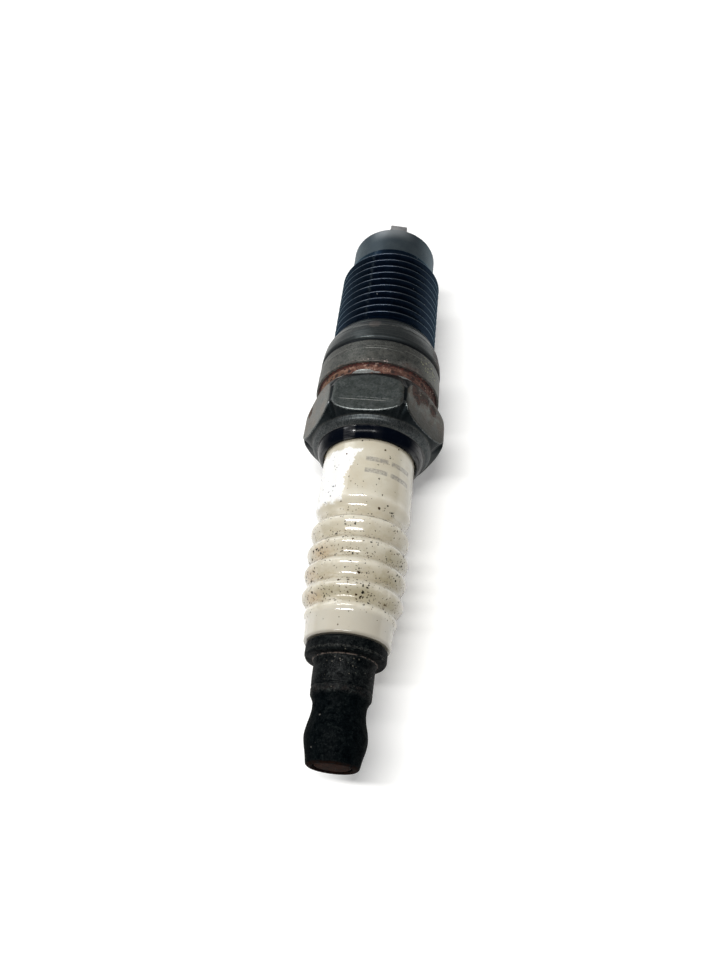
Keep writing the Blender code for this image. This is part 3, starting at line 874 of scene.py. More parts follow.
def inside_flat(mat):
    """Distance inside a hexagon flat's outline, the same outline as flat_ends gives."""
    turn = (mat.bearing + 720.0) % 60.0 - 30.0
    side = mat.radius * abs(mat.math("SINE", turn * (math.pi / 180)))
    rise = 1.035                         # how far a corner stands out beyond a flat's middle
    out = ((side * side + HEX_FLAT ** 2).sqrt() - HEX_FLAT) / rise

    def from_end(past_end, rounding):
        across = most(side - (FLAT_HALF_WIDTH - rounding), 0.0)
        along = most(past_end, 0.0)
        return rounding - (across * across + along * along).sqrt()

    low = out * FLAT_LOW_RISE + (FLAT_LOW + FLAT_LOW_ROUNDING)
    high = (FLAT_HIGH - FLAT_HIGH_ROUNDING) - out ** FLAT_HIGH_POWER * FLAT_HIGH_DROP
    return mat.math("MINIMUM", from_end(low - mat.height, FLAT_LOW_ROUNDING),
                    from_end(mat.height - high, FLAT_HIGH_ROUNDING))


def shell_regions(mat):
    height = mat.height
    mat.thread = height.within(6.70, 21.28, 0.05)
    mat.nose = height.fall(6.66, 6.74)
    mat.collar = height.within(25.86, 29.62, 0.05)
    sunk = (mat.radius + mat.fine.jitter(0.22)).fall(7.80, 7.86)
    mat.groove = height.within(29.60, 31.80, 0.03) * sunk
    on_hex = height.within(31.0, 37.42, 0.15)
    inside = inside_flat(mat) + mat.fine.jitter(0.16)
    mat.flat = on_hex * inside.ramp(-0.03, 0.10)
    mat.chamfer = on_hex * (1.0 - mat.flat)
    # A painted highlight: a thin line just inside each flat's outline, towards its upper end.
    mat.brink = on_hex * inside.within(0.0, 0.07, 0.03) * height.ramp(34.5, 35.2)
    mat.roll = height.ramp(38.28, 38.40)


def off_middle(mat):
    """Degrees away from bearing 84."""
    return abs(mat.bearing - 84.0)


def paint_collar(mat):
    """Weathered greenish grey, finely speckled."""
    pale_dots = mat.specks(2.6, share=0.22, small=0.10, large=0.32, shift=4)
    mat.color = layered(
        mix(mat.mottle.ramp(0.40, 0.60), (0.050, 0.055, 0.052), (0.145, 0.147, 0.136)),
        (mat.coarse.ramp(0.46, 0.66) * 0.40, (0.140, 0.135, 0.118)),
        (pale_dots * 0.30, (0.30, 0.29, 0.26)),
        (mat.dark_dots * 0.55, (0.020, 0.022, 0.022)))
    mat.rough = mat.mottle.line(0.35, 0.65, 0.36, 0.56)
    mat.metal = 0.9


def paint_seat(mat):
    """Smooth and darker, with turned lines and a small painted highlight patch."""
    height, mid = mat.height, mat.mid
    lines = (mat.turned * 0.6 + mat.fine * 0.4).ramp(0.40, 0.62)
    seat_color = layered(
        mix(lines, (0.046, 0.055, 0.058), (0.086, 0.094, 0.094)),
        (height.within(22.98, 23.10, 0.03) * mid.ramp(0.42, 0.52), (0.20, 0.20, 0.19)),
        # A painted highlight: a small pale patch at bearing 92, height 22.9.
        (mat.patch(92, 22.9, 7.6, 0.9, mid, 0.5) * 0.45, (0.22, 0.19, 0.18)))
    mat.paint(height.within(21.28, 25.42, 0.05), seat_color, rough=0.36)
    rim_groove = height.within(25.42, 25.92, 0.07)
    mat.paint(most(rim_groove, height.within(21.2, 21.65, 0.15) * 0.7), (0.010, 0.013, 0.015))


def paint_nose(mat):
    """Slate grey, duller, with a painted glare, pale, on its end near the top."""
    base = (mat.coarse * 0.7 + mat.fine * 0.3).ramp(0.38, 0.66)
    # Painted glare: the nose's end paled at bearings 66 to 112.
    end_glare = mat.height.fall(2.3, 4.6) * mat.bearing.within(66.0, 112.0, 14.0)
    nose_color = layered(
        mix(base, (0.064, 0.084, 0.100), (0.084, 0.106, 0.120)),
        (end_glare * 0.9, (0.38, 0.41, 0.43)))
    mat.paint(mat.nose, nose_color, rough=0.48)


def paint_thread(mat):
    """Deep blue-black with thin bright crests partly painted as highlight, a painted reflection
    streak down one band and sides painted lighter as a sheen; a rim beyond it painted darker
    outside its lit span.
    """
    crest = mat.attribute("crest")
    streak = mat.streaks(around=0.5, along=2.2, detail=5, rough=0.6, warp=0.3, shift=7)
    # Painted reflection: a lighter streak down the thread at bearings 105.5 to 108.5.
    painted_streak_noise = mat.noise(2.6, detail=4, rough=0.6, shift=61)
    painted_streak = mat.bearing.within(105.5, 108.5, 2.0) * painted_streak_noise.ramp(0.40, 0.62, 0.15, 1.0)
    # Crests painted lighter: partly rubbed crests, partly a painted highlight, stronger near
    # bearing 84.
    bright = crest * (crest + streak.jitter(1.2)).ramp(0.20, 0.75)
    thread_color = layered(
        mix(mat.mid.ramp(0.35, 0.7), (0.0018, 0.0064, 0.0180), (0.0062, 0.0150, 0.0335)),
        # Painted sheen: the thread's sides, away from bearing 84, painted lighter.
        (off_middle(mat).line(22.0, 66.0, 0.0, 0.60), (0.026, 0.039, 0.055)),
        (painted_streak * 0.55, (0.080, 0.105, 0.125)),
        (bright * off_middle(mat).line(20.0, 75.0, 0.62, 0.30), (0.150, 0.172, 0.205)),
        (mat.specks(1.3, share=0.05, small=0.08, large=0.16, shift=70) * 0.7, (0.42, 0.45, 0.47)))
    mat.paint(mat.thread, thread_color, rough=mat.fine.line(0.3, 0.7, 0.28, 0.40))
    # Painted shade: the seat's rim darkened and dulled outside x from -2.6 to -0.3, so its
    # highlight shows only there.
    lit = mat.axes[0].within(-2.6, -0.3, 0.35)
    rim_painted_shade = mat.height.within(24.9, 25.5, 0.08) * (1.0 - lit)
    mat.paint(rim_painted_shade, (0.018, 0.022, 0.024), amount=0.65)
    mat.rough = mix(rim_painted_shade * 0.8, mat.rough, 0.62)


def paint_hexagon(mat):
    """Rubbed flats, black corners and chamfers."""
    blur_noise = mat.noise(0.9, detail=5, rough=0.62, warp=0.4, shift=58)
    blur = blur_noise * 0.75 + mat.fine * 0.25
    sides = abs(mat.axes[0]).ramp(3.8, 5.0)
    flat_color = layered(
        mix(mat.mottle.ramp(0.40, 0.60), (0.046, 0.056, 0.056), (0.130, 0.142, 0.138)),
        (blur.ramp(0.42, 0.60) * 0.45, (0.046, 0.055, 0.050)),
        (blur.fall(0.50, 0.62) * sides * 0.30, (0.170, 0.162, 0.138)),
        (mat.dark_dots * 0.4, (0.020, 0.022, 0.022)))
    mat.paint(mat.flat, flat_color, rough=mat.fine.line(0.3, 0.7, 0.34, 0.48))
    black = mix(mat.mottle.ramp(0.42, 0.66), (0.0050, 0.0082, 0.0100), (0.020, 0.025, 0.027))
    mat.paint(mat.chamfer, black, rough=0.40)


def paint_ring_and_lip(mat):
    """A brushed ring, then the rolled lip in gloss black with its highlights."""
    x, _, z = mat.axes
    brushed = mat.streaks(around=8.0, along=0.7, detail=4, rough=0.65)
    ring_color = mix((brushed * 0.75 + mat.mid * 0.25).ramp(0.40, 0.64),
                     (0.026, 0.032, 0.035), (0.100, 0.106, 0.106))
    mat.paint(mat.height.within(37.42, 38.32, 0.04), ring_color,
              rough=brushed.line(0.3, 0.7, 0.36, 0.52))
    gloss = mix(mat.mid.ramp(0.5, 0.8), (0.0006, 0.0016, 0.0044), (0.0028, 0.0046, 0.0080))
    mat.paint(mat.roll, gloss, rough=mat.mid.line(0.3, 0.7, 0.12, 0.24))
    mat.metal = mix(mat.roll, mat.metal, 0.0)
    glint = most(x.within(-2.6, -1.25, 0.15), x.within(0.9, 2.0, 0.3) * 0.12,
                 z.fall(2.0, 4.0) * 0.6)
    breaks = mat.streaks(around=0.6, along=7.0, detail=3, rough=0.5, shift=91)
    glint = glint * breaks.ramp(0.38, 0.50, 0.25, 1.0)
    mat.spec = mix(mat.roll, 0.5, glint.line(0.0, 1.0, 0.05, 1.0))
    mat.tint = mix(most(mat.thread, mat.nose * 0.4), (1.0, 1.0, 1.0), (0.66, 0.87, 1.0))


def paint_worn_and_highlit_edges(mat):
    worn = (mat.wear + mat.fine.jitter(1.4)).ramp(0.40, 0.80)
    worn = worn * mat.wear.ramp(0.10, 0.40) * (1.0 - mat.roll) * (1.0 - mat.thread)
    # Worn edges, with the flats' painted edge highlight, lightened together.
    mat.paint(most(worn, mat.brink * 0.5), (0.27, 0.29, 0.29), amount=0.62, rough=0.30)


def paint_scratches(mat):
    """Two long ones along the top flat, forked ones on the +X flats, finer ones elsewhere."""
    x, _, z = mat.axes
    height, fine, coarse = mat.height, mat.fine, mat.coarse
    top = mat.flat * z.ramp(7.80, 7.86)
    slant = height + x * -0.05
    first = slant.within(35.62, 35.68, 0.025) * x.within(-3.4, 2.2, 0.3)
    second = (slant + x * -0.03).within(35.26, 35.31, 0.02) * x.within(-2.0, 3.3, 0.4)
    long_pair = most(first, second * 0.7) * top * fine.ramp(0.38, 0.52)

    around = mat.streaks(around=0.5, along=6.0, detail=2, rough=0.5, shift=3)
    along = mat.streaks(around=4.0, along=0.8, detail=2, rough=0.5, shift=13)
    light = most(around.within(0.497, 0.503, 0.003) * coarse.ramp(0.50, 0.62),
                 along.within(0.497, 0.503, 0.004) * coarse.fall(0.52, 0.60))
    down = z + mat.noise(0.8, detail=2, rough=0.5, shift=47).jitter(0.9)
    forked = most((height + down * 0.55).within(37.52, 37.60, 0.04),
                  (height + down * -0.35).within(34.30, 34.37, 0.04),
                  (height + down * 1.2).within(39.9, 39.98, 0.05) * 0.6)
    forked_gaps = mat.noise(1.4, detail=3, rough=0.5, shift=49).ramp(0.40, 0.50)
    forked = (forked * x.ramp(5.0, 5.4) * height.within(34.6, 36.6, 0.2) * forked_gaps
              * mat.flat)
    light = most(light, forked * 0.8)
    light = light * most(mat.flat, mat.collar * 0.5) * fine.ramp(0.42, 0.55) * (1.0 - top)

    arc_gaps = mat.noise(0.45, detail=3, rough=0.5, shift=83).ramp(0.46, 0.54)
    arcs = height.within(26.98, 27.06, 0.03) * arc_gaps * mat.collar
    mat.scratch = most(long_pair, light, arcs * 0.8)
    mat.paint(mat.scratch, (0.34, 0.34, 0.32), amount=0.55)


def groove_rust_color(mat):
    """Rust colours, with a painted shadow, dark maroon, right beside the collar's edge."""
    x, bloom = mat.axes[0], mat.rust_bloom
    dark_areas = mat.noise(0.8, detail=3, rough=0.5, shift=31).ramp(0.45, 0.62)
    pits = mat.specks(1.25, share=0.70, small=0.20, large=0.44, shift=44)
    base = layered(
        mix(bloom.ramp(0.44, 0.51), (0.042, 0.012, 0.008), (0.128, 0.060, 0.040)),
        (bloom.ramp(0.54, 0.62) * 0.8, (0.270, 0.160, 0.118)),
        (dark_areas * 0.45, (0.080, 0.022, 0.014)),
        (x.fall(-5.0, -2.5) * 0.45, (0.170, 0.100, 0.055)),
        (x.ramp(1.6, 4.2) * 0.62, (0.040, 0.015, 0.010)),
        (pits * 0.90, (0.014, 0.004, 0.003)))
    # Painted shadow: a dark maroon line in the groove under the collar's lip.
    lip_shadow = mix(mat.rust_grain.ramp(0.46, 0.56), (0.008, 0.002, 0.002), (0.060, 0.010, 0.006))
    return mix(mat.height.within(29.56, 29.80, 0.04) * 0.93, base, lip_shadow)


def paint_rust(mat):
    """Rust in the groove with bare metal showing through, and stains that creep out of it."""
    height, fine, grain = mat.height, mat.fine, mat.rust_grain
    rust_color = groove_rust_color(mat)
    # patches: bearing, height, radius, size, noise, raggedness, squeeze along
    bare = mat.patches(
        (98, 30.95, 7.54, 1.45, grain, 0.35, 2.6),
        (85, 31.10, 7.6, 0.55, mat.rust_bloom, 0.5, 2.6),
        (58, 31.35, 7.6, 1.2, grain, 0.6, 2.0),
        (122, 31.4, 7.6, 1.0, grain, 0.6, 2.0),
        (-70, 30.9, 7.3, 1.8, grain, 0.7, 2.2),
        (200, 31.0, 7.3, 1.6, grain, 0.7, 2.2))
    pale_rust = mat.patches(
        (88, 30.2, 7.5, 2.2, grain, 0.4, 2.0), (30, 30.6, 7.5, 2.8, grain, 0.4, 1.6))
    pale_rust = pale_rust * mat.specks(3.0, share=0.50, small=0.16, large=0.42, shift=51)
    rust = mat.groove * (1.0 - bare * 0.95) * grain.ramp(0.20, 0.32)
    speckle = (fine * 0.6 + mat.grain * 0.4).ramp(0.44, 0.56)
    edge_noise = mat.noise(0.9, detail=4, rough=0.6, shift=21)
    creep = most(
        mat.haze(54, 29.35, 8.05, 2.3, grain, 0.5, 2.6) * 0.9,
        height.within(29.36, 29.60, 0.10) * edge_noise.ramp(0.44, 0.60, 0.1, 0.8),
        mat.haze(14, 24.0, 7.9, 2.4, grain, 0.6) * 0.8,
        mat.patch(-30, 28.8, 8.0, 1.6, grain, 0.9) * 0.7,
        mat.patch(215, 27.9, 8.0, 1.5, grain, 0.9) * 0.6)
    mat.spots = mat.patches(
        (48.5, 32.95, 8.25, 0.95, fine, 0.8, 0.8), (44.5, 33.6, 8.05, 0.65, fine, 0.9, 0.7),
        (38.0, 32.7, 7.95, 0.75, fine, 1.1, 0.8), (32.0, 32.5, 7.95, 0.8, fine, 1.3),
        (20.0, 33.0, 8.0, 0.9, fine, 1.3), (-22, 32.4, 8.1, 1.1, grain, 0.9),
        (-95, 34.8, 8.0, 1.0, grain, 0.9), (168, 33.0, 8.2, 0.8, grain, 0.9))
    mat.spots = mat.spots * mat.grain.ramp(0.36, 0.46)
    spot_color = mix(mat.rust_bloom.ramp(0.46, 0.54), (0.010, 0.004, 0.003), (0.050, 0.015, 0.009))
    rust_color = mix(mat.spots * 0.92, rust_color, spot_color)
    outside = mat.radius.ramp(5.5, 5.8)
    mat.rust = most(rust, creep * speckle * outside, mat.spots)

    bare_color = mix(fine.ramp(0.42, 0.58), (0.34, 0.37, 0.365), (0.70, 0.76, 0.74))
    mat.paint(mat.groove * bare, bare_color, rough=0.42)
    mat.paint(mat.rust, rust_color, rough=0.88)
    mat.paint(pale_rust * mat.groove, (0.33, 0.23, 0.19), amount=0.55)
    mat.metal = mix(most(mat.rust, pale_rust * mat.groove), mat.metal, 0.0)


def paint_films(mat):
    """Brown on the +X flats and darker towards their upper end, brown on the -X ones."""
    x = mat.axes[0]
    brown_noise = mat.noise(0.9, detail=5, rough=0.6, shift=17)
    brown = mat.flat * (1.0 - mat.spots) * x.ramp(3.2, 5.2) * brown_noise.ramp(0.36, 0.58)
    brown_color = mix(mat.fine.ramp(0.42, 0.60), (0.044, 0.029, 0.021), (0.100, 0.074, 0.052))
    mat.paint(brown, brown_color, amount=0.70)
    # Darker towards the upper end of the +X flats.
    upper = (mat.height + mat.mid * 1.5).ramp(34.8, 37.2)
    dark = mat.flat * (1.0 - mat.spots) * x.ramp(3.2, 5.2) * upper
    mat.paint(dark, (0.026, 0.026, 0.022), amount=0.88)
    far_noise = mat.noise(0.6, detail=5, rough=0.6, shift=27)
    far = mat.flat * x.ramp(-4.6, -5.6) * far_noise.ramp(0.42, 0.60)
    mat.paint(far, (0.170, 0.128, 0.090), amount=0.45)


def paint_deposits(mat):
    """Pale deposits on the collar and chips on its edge."""
    mid = mat.mid
    deposit = most(
        mat.patch(34, 27.2, 8.05, 1.5, mid, 0.5), mat.patch(25, 28.2, 8.05, 1.1, mid, 0.7),
        mat.patch(38.5, 32.2, 8.1, 1.1, mid, 0.7) * 0.8,
        mat.patch(170, 27.6, 8.05, 1.8, mid, 0.8) * 0.7)
    deposit = deposit * mat.specks(3.4, share=0.50, small=0.14, large=0.42, shift=29)
    mat.paint(deposit, (0.36, 0.35, 0.22), amount=0.80)
    chips = (mat.height.within(29.20, 29.58, 0.06) * off_middle(mat).ramp(10.0, 24.0, 1.0, 0.05)
             * mat.specks(3.4, share=0.55, small=0.14, large=0.42, shift=33))
    mat.paint(chips, (0.44, 0.37, 0.35), amount=0.7)
    mat.rough = mix(most(deposit, chips), mat.rough, 0.75)
    mat.metal = mat.metal * (1.0 - most(deposit, chips) * 0.8)


def shell_relief(mat):
    tone = mat.rust_grain * 0.45 + mat.rust_bloom * 0.55
    relief = mat.fine * 0.45 + mat.grain * 0.25 + mat.grit * 0.12 + mat.turned * 0.22
    relief = relief + mat.rust * (0.4 + tone * 1.8)
    relief = relief - mat.scratch * 0.5 - mat.dark_dots * 0.25
    return relief * (1.0 - most(mat.roll, mat.thread) * 0.85)


def shell_material():
    mat = Shader("shell_blacked_steel")
    shell_textures(mat)
    shell_regions(mat)
    for paint_part in (paint_collar, paint_seat, paint_nose, paint_thread, paint_hexagon,
                       paint_ring_and_lip, paint_worn_and_highlit_edges, paint_scratches, paint_rust,
                       paint_films, paint_deposits):
        paint_part(mat)
    rough = mat.math("ADD", mat.rough, mat.grit.jitter(0.12), clamp=True)
    return mat.finish(color=mat.color, rough=rough, metal=mat.metal, spec=mat.spec, tint=mat.tint,
                      normal=mat.bump(shell_relief(mat), depth=0.030, strength=0.85))


# ------------------------------------------------------------------ insulator material
# bearing, height, radius, size of single dark spots
SINGLE_SPOTS = [
    (47.5, 57.4, 5.66, 0.24), (71.0, 59.0, 5.25, 0.26), (113.0, 54.7, 5.4, 0.17),
    (64.0, 40.85, 5.64, 0.20), (111.0, 41.7, 5.64, 0.20), (62.0, 48.5, 5.16, 0.24),
    (52.0, 47.95, 5.36, 0.16), (78.0, 59.3, 5.05, 0.20), (88.0, 54.6, 5.3, 0.14),
    (146.0, 57.2, 5.3, 0.30), (93.0, 39.95, 5.64, 0.16), (46.0, 40.0, 5.64, 0.16),
    (240.0, 52.5, 5.5, 0.24), (290.0, 58.4, 5.4, 0.26), (-20.0, 50.2, 5.7, 0.20),
]


def paint_glaze(mat):
    """Cream glaze, paler on the rib crowns."""
    height, mid = mat.height, mat.mid
    crown = mat.attribute("crown")
    soft = mat.noise(0.35, detail=3, rough=0.5)
    ribbed = height.within(47.6, 60.5, 0.15)
    mat.color = layered(
        mix(soft.ramp(0.35, 0.68), (0.555, 0.505, 0.395), (0.625, 0.588, 0.485)),
        (mid.ramp(0.46, 0.70) * 0.35, (0.490, 0.430, 0.310)),
        (ribbed * (1.0 - crown) * 0.20, (0.400, 0.350, 0.255)),
        (crown * mid.ramp(0.30, 0.60, 0.6, 1.0) * 0.80, (0.720, 0.680, 0.580)),
        (height.ramp(60.5, 61.1) * 0.7, (0.485, 0.455, 0.390)))


def paint_grime(mat):
    """Grime between and over the ribs, with khaki and ochre patches; browner and darker towards the
    sides.
    """
    rag = mat.rag
    mat.area = mat.height.within(48.8, 60.6, 1.0)
    # Stronger away from bearing 80, so the ribs come out browner and darker towards the sides.
    side = abs(mat.from_top - 0.17).ramp(0.15, 1.10, 0.40, 1.0)
    dirt = mat.valley * 0.80 + mat.mid.jitter(1.6)
    mat.film = mat.area * dirt.ramp(0.05, 0.90) * side
    blotch_noise = mat.noise(0.9, detail=5, rough=0.65, warp=0.4, shift=12)
    mat.blotch = mat.area * blotch_noise.ramp(0.46, 0.66) * side
    foot_noise = mat.noise(2.2, detail=5, rough=0.7, shift=72)
    # hazes: bearing, height, radius, size, noise, raggedness, squeeze along
    mat.khaki = mat.hazes(
        (30, 54.1, 5.5, 2.4, rag, 0.6, 1.7), (30, 57.0, 5.5, 2.6, rag, 0.6, 1.7),
        (29, 59.4, 5.1, 2.0, rag, 0.6, 1.7), (75, 59.1, 5.2, 3.2, rag, 0.6, 2.8),
        (110, 58.9, 5.2, 2.4, rag, 0.6, 2.6), (200, 55.0, 5.5, 3.2, rag, 0.7),
        (-60, 56.5, 5.5, 3.6, rag, 0.7))
    mat.ochre = mat.hazes(
        (131, 54.2, 5.5, 2.2, rag, 0.6, 1.5), (149, 56.6, 5.5, 2.0, rag, 0.6, 1.5),
        (139, 59.3, 5.0, 2.0, rag, 0.6, 1.9))
    mat.color = layered(
        mat.color,
        (mat.film * 0.50, (0.330, 0.275, 0.170)),
        (mat.blotch * 0.50, (0.345, 0.290, 0.180)),
        (mat.foot * foot_noise.ramp(0.36, 0.56) * side * 0.50, (0.230, 0.185, 0.105)),
        (mat.khaki * 0.52, (0.290, 0.245, 0.125)),
        (mat.ochre * mat.fine.ramp(0.34, 0.60, 0.35, 1.0) * 0.50, (0.430, 0.270, 0.125)))


def paint_ends(mat):
    """Lines where the terminal's flange sits and the shell's lip ends; a browned firing end."""
    height = mat.height
    seam = most(height.ramp(62.95, 63.34), height.within(39.3, 39.95, 0.12))
    mat.paint(seam * mat.outside, (0.17, 0.145, 0.105), amount=0.55)
    mat.burnt = height.fall(9.0, 15.0)
    mat.paint(mat.burnt, mix(mat.mid, (0.19, 0.13, 0.085), (0.42, 0.34, 0.26)), amount=0.8)


def paint_barrel_glare(mat):
    """A painted glare, near white, on the barrel's -X side; bearings wrap underneath, so it stops.
    """
    bearing = mat.bearing
    limit = mat.height.line(40.7, 44.2, 90.0, 109.0) + mat.rag.jitter(26.0)
    low = mat.height + mat.noise(0.9, detail=5, rough=0.6, shift=35).jitter(2.2)
    not_below = mat.axes[2].ramp(-4.6, -3.6)
    # Painted glare: the barrel painted near white on its -X side.
    glare_mask = ((bearing - limit).ramp(-0.8, 1.4) * low.ramp(40.7, 41.1) * low.fall(47.5, 48.1)
             * not_below * mat.outside * bearing.fall(196.0, 216.0))
    mat.paint(glare_mask, mix(mat.fine.ramp(0.3, 0.7), (0.86, 0.86, 0.85), (0.92, 0.92, 0.91)))


def paint_dark_spots(mat):
    """Scattered spots, thickest in the grime, and single ones."""
    area = mat.area
    cloud = mat.noise(2.5, detail=2, rough=0.5, output="Color")
    nudge = mat.vector("SCALE", mat.vector("SUBTRACT", cloud, (0.5, 0.5, 0.5)), scale=0.45)
    moved = mat.vector("ADD", mat.position, nudge)
    clump = mat.noise(0.60, detail=4, rough=0.6, shift=40).ramp(0.36, 0.60, 0.20, 1.0)
    dirty = most(mat.khaki, mat.ochre, mat.haze(92, 53.6, 5.4, 2.2, mat.rag, 0.6, 1.6))
    near = (0.15 + area * 0.60 + area * mat.valley * 0.35 + area * mat.foot * 0.9
            + dirty * 1.3)
    density = clump * near
    larger = mat.specks(1.9, share=density * 0.50, small=0.11, large=0.35, where=moved,
                        power=2.2, edge=1.15)
    smaller = mat.specks(3.4, share=density * 0.62, small=0.18, large=0.40, where=moved,
                         shift=19, power=1.5, edge=1.2)
    ragged = mat.noise(9.0, detail=3, rough=0.6, shift=63)
    single = mat.patches(*[(*spot, size * 0.72, ragged, 0.75) for *spot, size in SINGLE_SPOTS])
    mat.spots = most(larger, smaller * 0.85, single) * mat.outside
    tone = mat.noise(0.8, detail=3, rough=0.5, shift=66).ramp(0.46, 0.64)
    mat.paint(mat.spots, mix(tone, (0.004, 0.003, 0.002), (0.060, 0.030, 0.009)), amount=0.98)


def paint_stripes(mat):
    """A worn, meaningless mark: two short parallel stripes printed round the barrel."""
    across = mat.from_top - 0.17
    stripe = most(mat.height.within(42.15, 42.75, 0.05), mat.height.within(43.75, 44.35, 0.05))
    span = across.within(-0.10, 0.98, 0.015)
    gap = abs(across - 0.42).ramp(0.03, 0.05)
    worn = mat.noise(3.4, detail=6, rough=0.7, shift=50).ramp(0.36, 0.60).line(0, 1, 0.30, 0.95)
    mat.paint(stripe * span * gap * worn * mat.outside, (0.145, 0.140, 0.150), amount=0.62)


def ceramic_material():
    mat = Shader("insulator_glazed_alumina")
    mat.valley, mat.foot = mat.attribute("valley"), mat.attribute("foot")
    mat.mid = mat.noise(1.4, detail=5, rough=0.6)
    mat.fine = mat.noise(6.0, detail=5, rough=0.68)
    mat.rag = mat.noise(1.1, detail=6, rough=0.62, warp=0.5, shift=90)
    mat.outside = mat.height.ramp(39.0, 39.5) * mat.radius.ramp(4.0, 4.3)
    for paint_part in (paint_glaze, paint_grime, paint_ends, paint_barrel_glare, paint_dark_spots,
                       paint_stripes):
        paint_part(mat)
    spots = mat.spots
    rough = mix(most(mat.film, mat.blotch, mat.khaki) * 0.8, 0.15, 0.42)
    rough = layered(rough, (spots, 0.6), (mat.burnt, 0.7))
    waves = mat.noise(1.1, detail=2, rough=0.4, shift=8)
    coat = mix(most(mat.film, mat.burnt) * 0.6, 1.0, 0.35) * (1.0 - spots * 0.9)
    relief = waves * 0.8 + mat.fine * 0.06 + spots * 0.12
    return mat.finish(
        color=mat.color, rough=rough, metal=0.0, spec=mix(spots, 0.5, 0.06), coat=coat,
        coat_rough=0.045, normal=mat.bump(relief, depth=0.020, strength=0.6), sss=0.06,
        sss_radius=(0.9, 0.7, 0.5), sss_scale=0.0006)


# ------------------------------------------------------------------ other materials
def terminal_material():
    """Black oxide, greyer on the sleeve and painted lighter towards the top, with a painted
    highlight line at the flange's lower edge and a rusty rim at the far end.
    """
    mat = Shader("terminal_black_oxide")
    height, radius, wear = mat.height, mat.radius, mat.attribute("wear")
    mid = mat.noise(1.6, detail=6, rough=0.65, warp=0.5)
    fine = mat.noise(6.0, detail=6, rough=0.72)
    grain = mat.noise(13.0, detail=4, rough=0.75, shift=9)
    grit = mat.noise(28.0, detail=3, rough=0.6)
    turned = mat.streaks(around=0.4, along=8.0, detail=4, rough=0.6)
    mottle = mid * 0.34 + fine * 0.40 + grain * 0.26
    sleeve = most(height.within(65.05, 69.0, 0.15), height.within(63.2, 65.1, 0.05) * 0.65)
    # Painted light: the grey and the shine fade from the top, near bearing 87, towards the sides.
    lit_top_share = abs(mat.from_top - 0.05).ramp(0.25, 1.00, 1.0, 0.40)
    grey = mottle.ramp(0.52, 0.62) * mix(sleeve, 0.30, 0.85) * lit_top_share
    lip_noise = mat.noise(2.6, detail=5, rough=0.7, shift=37)
    lip = height.within(68.15, 68.80, 0.08) * lip_noise.ramp(0.46, 0.60)
    dust = (mat.specks(3.6, share=0.30, small=0.10, large=0.34, shift=4)
            * mat.patch(86, 66.6, 3.3, 2.3, mid, 0.6, 0.9))
    pale = mat.specks(2.0, share=0.07, small=0.08, large=0.20, shift=14)
    worn = (wear + fine.jitter(2.2)).ramp(0.50, 0.95) * wear.ramp(0.15, 0.5)
    # A painted highlight: a thin line round the flange's lower edge, where the sleeve starts.
    line_noise = mat.noise(2.2, detail=5, rough=0.7, shift=77)
    flange_rim_highlight = (height.within(65.06, 65.15, 0.03) * radius.ramp(3.34, 3.38)
                   * line_noise.ramp(0.44, 0.56))
    end = height.ramp(75.40, 75.66) * radius.fall(2.7, 2.9)
    rust = end * mat.noise(3.0, detail=6, rough=0.7, shift=6).ramp(0.34, 0.56)
    color = layered(
        mix(mottle.ramp(0.40, 0.62), (0.0003, 0.0009, 0.0014), (0.0022, 0.0042, 0.0050)),
        (grey, (0.028, 0.034, 0.030)),
        (lip * 0.45, (0.024, 0.019, 0.017)),
        (dust * 0.40, (0.20, 0.185, 0.15)),
        (pale * 0.45, (0.22, 0.21, 0.19)),
        (worn * 0.22, (0.12, 0.12, 0.11)),
        (flange_rim_highlight * 0.42, (0.26, 0.20, 0.17)),
        (rust * 0.9, mix(fine, (0.004, 0.0012, 0.0008), (0.020, 0.007, 0.0035))))
    rough = mix(rust, mottle.line(0.35, 0.65, 0.42, 0.62), 0.85)
    shine = mottle.line(0.44, 0.62, 0.02, 0.36) * mix(sleeve, 0.16, 0.90) * lit_top_share
    relief = fine * 0.8 + grain * 0.35 + grit * 0.2 + turned * 0.3 + rust * 0.6
    return mat.finish(color=color, rough=rough, metal=0.0, spec=mix(rust, shine, 0.02),
                      normal=mat.bump(relief, depth=0.035, strength=0.9))


def stud_material():
    """Steel, rusted at its terminal end, its crests rubbed bright."""
    mat = Shader("stud_rusted_steel")
    height, wear, crest = mat.height, mat.attribute("wear"), mat.attribute("crest")
    mid = mat.noise(2.0, detail=6, rough=0.65, warp=0.5)
    fine = mat.noise(8.0, detail=6, rough=0.7)
    rust = most(height.ramp(75.2, 75.45) * mid.ramp(0.22, 0.38),
                mid.ramp(0.50, 0.66) * height.ramp(63.0, 64.5, 0.0, 0.8))
    rust = rust * (1.0 - most(crest, wear) * height.ramp(75.2, 75.4, 0.5, 0.0))
    steel = mix(mid.ramp(0.35, 0.7), (0.16, 0.15, 0.135), (0.34, 0.33, 0.31))
    rust_color = mix((fine * 0.5 + mid * 0.5).ramp(0.40, 0.60),
                     (0.0035, 0.0012, 0.0006), (0.0360, 0.0105, 0.0042))
    relief = fine + rust * (mid * 2.0)
    return mat.finish(
        color=mix(rust, steel, rust_color), rough=mix(rust, mid.line(0.3, 0.7, 0.30, 0.48), 0.88),
        metal=mix(rust, 1.0, 0.0), spec=mix(rust, 0.5, 0.05),
        normal=mat.bump(relief, depth=0.030, strength=0.8))


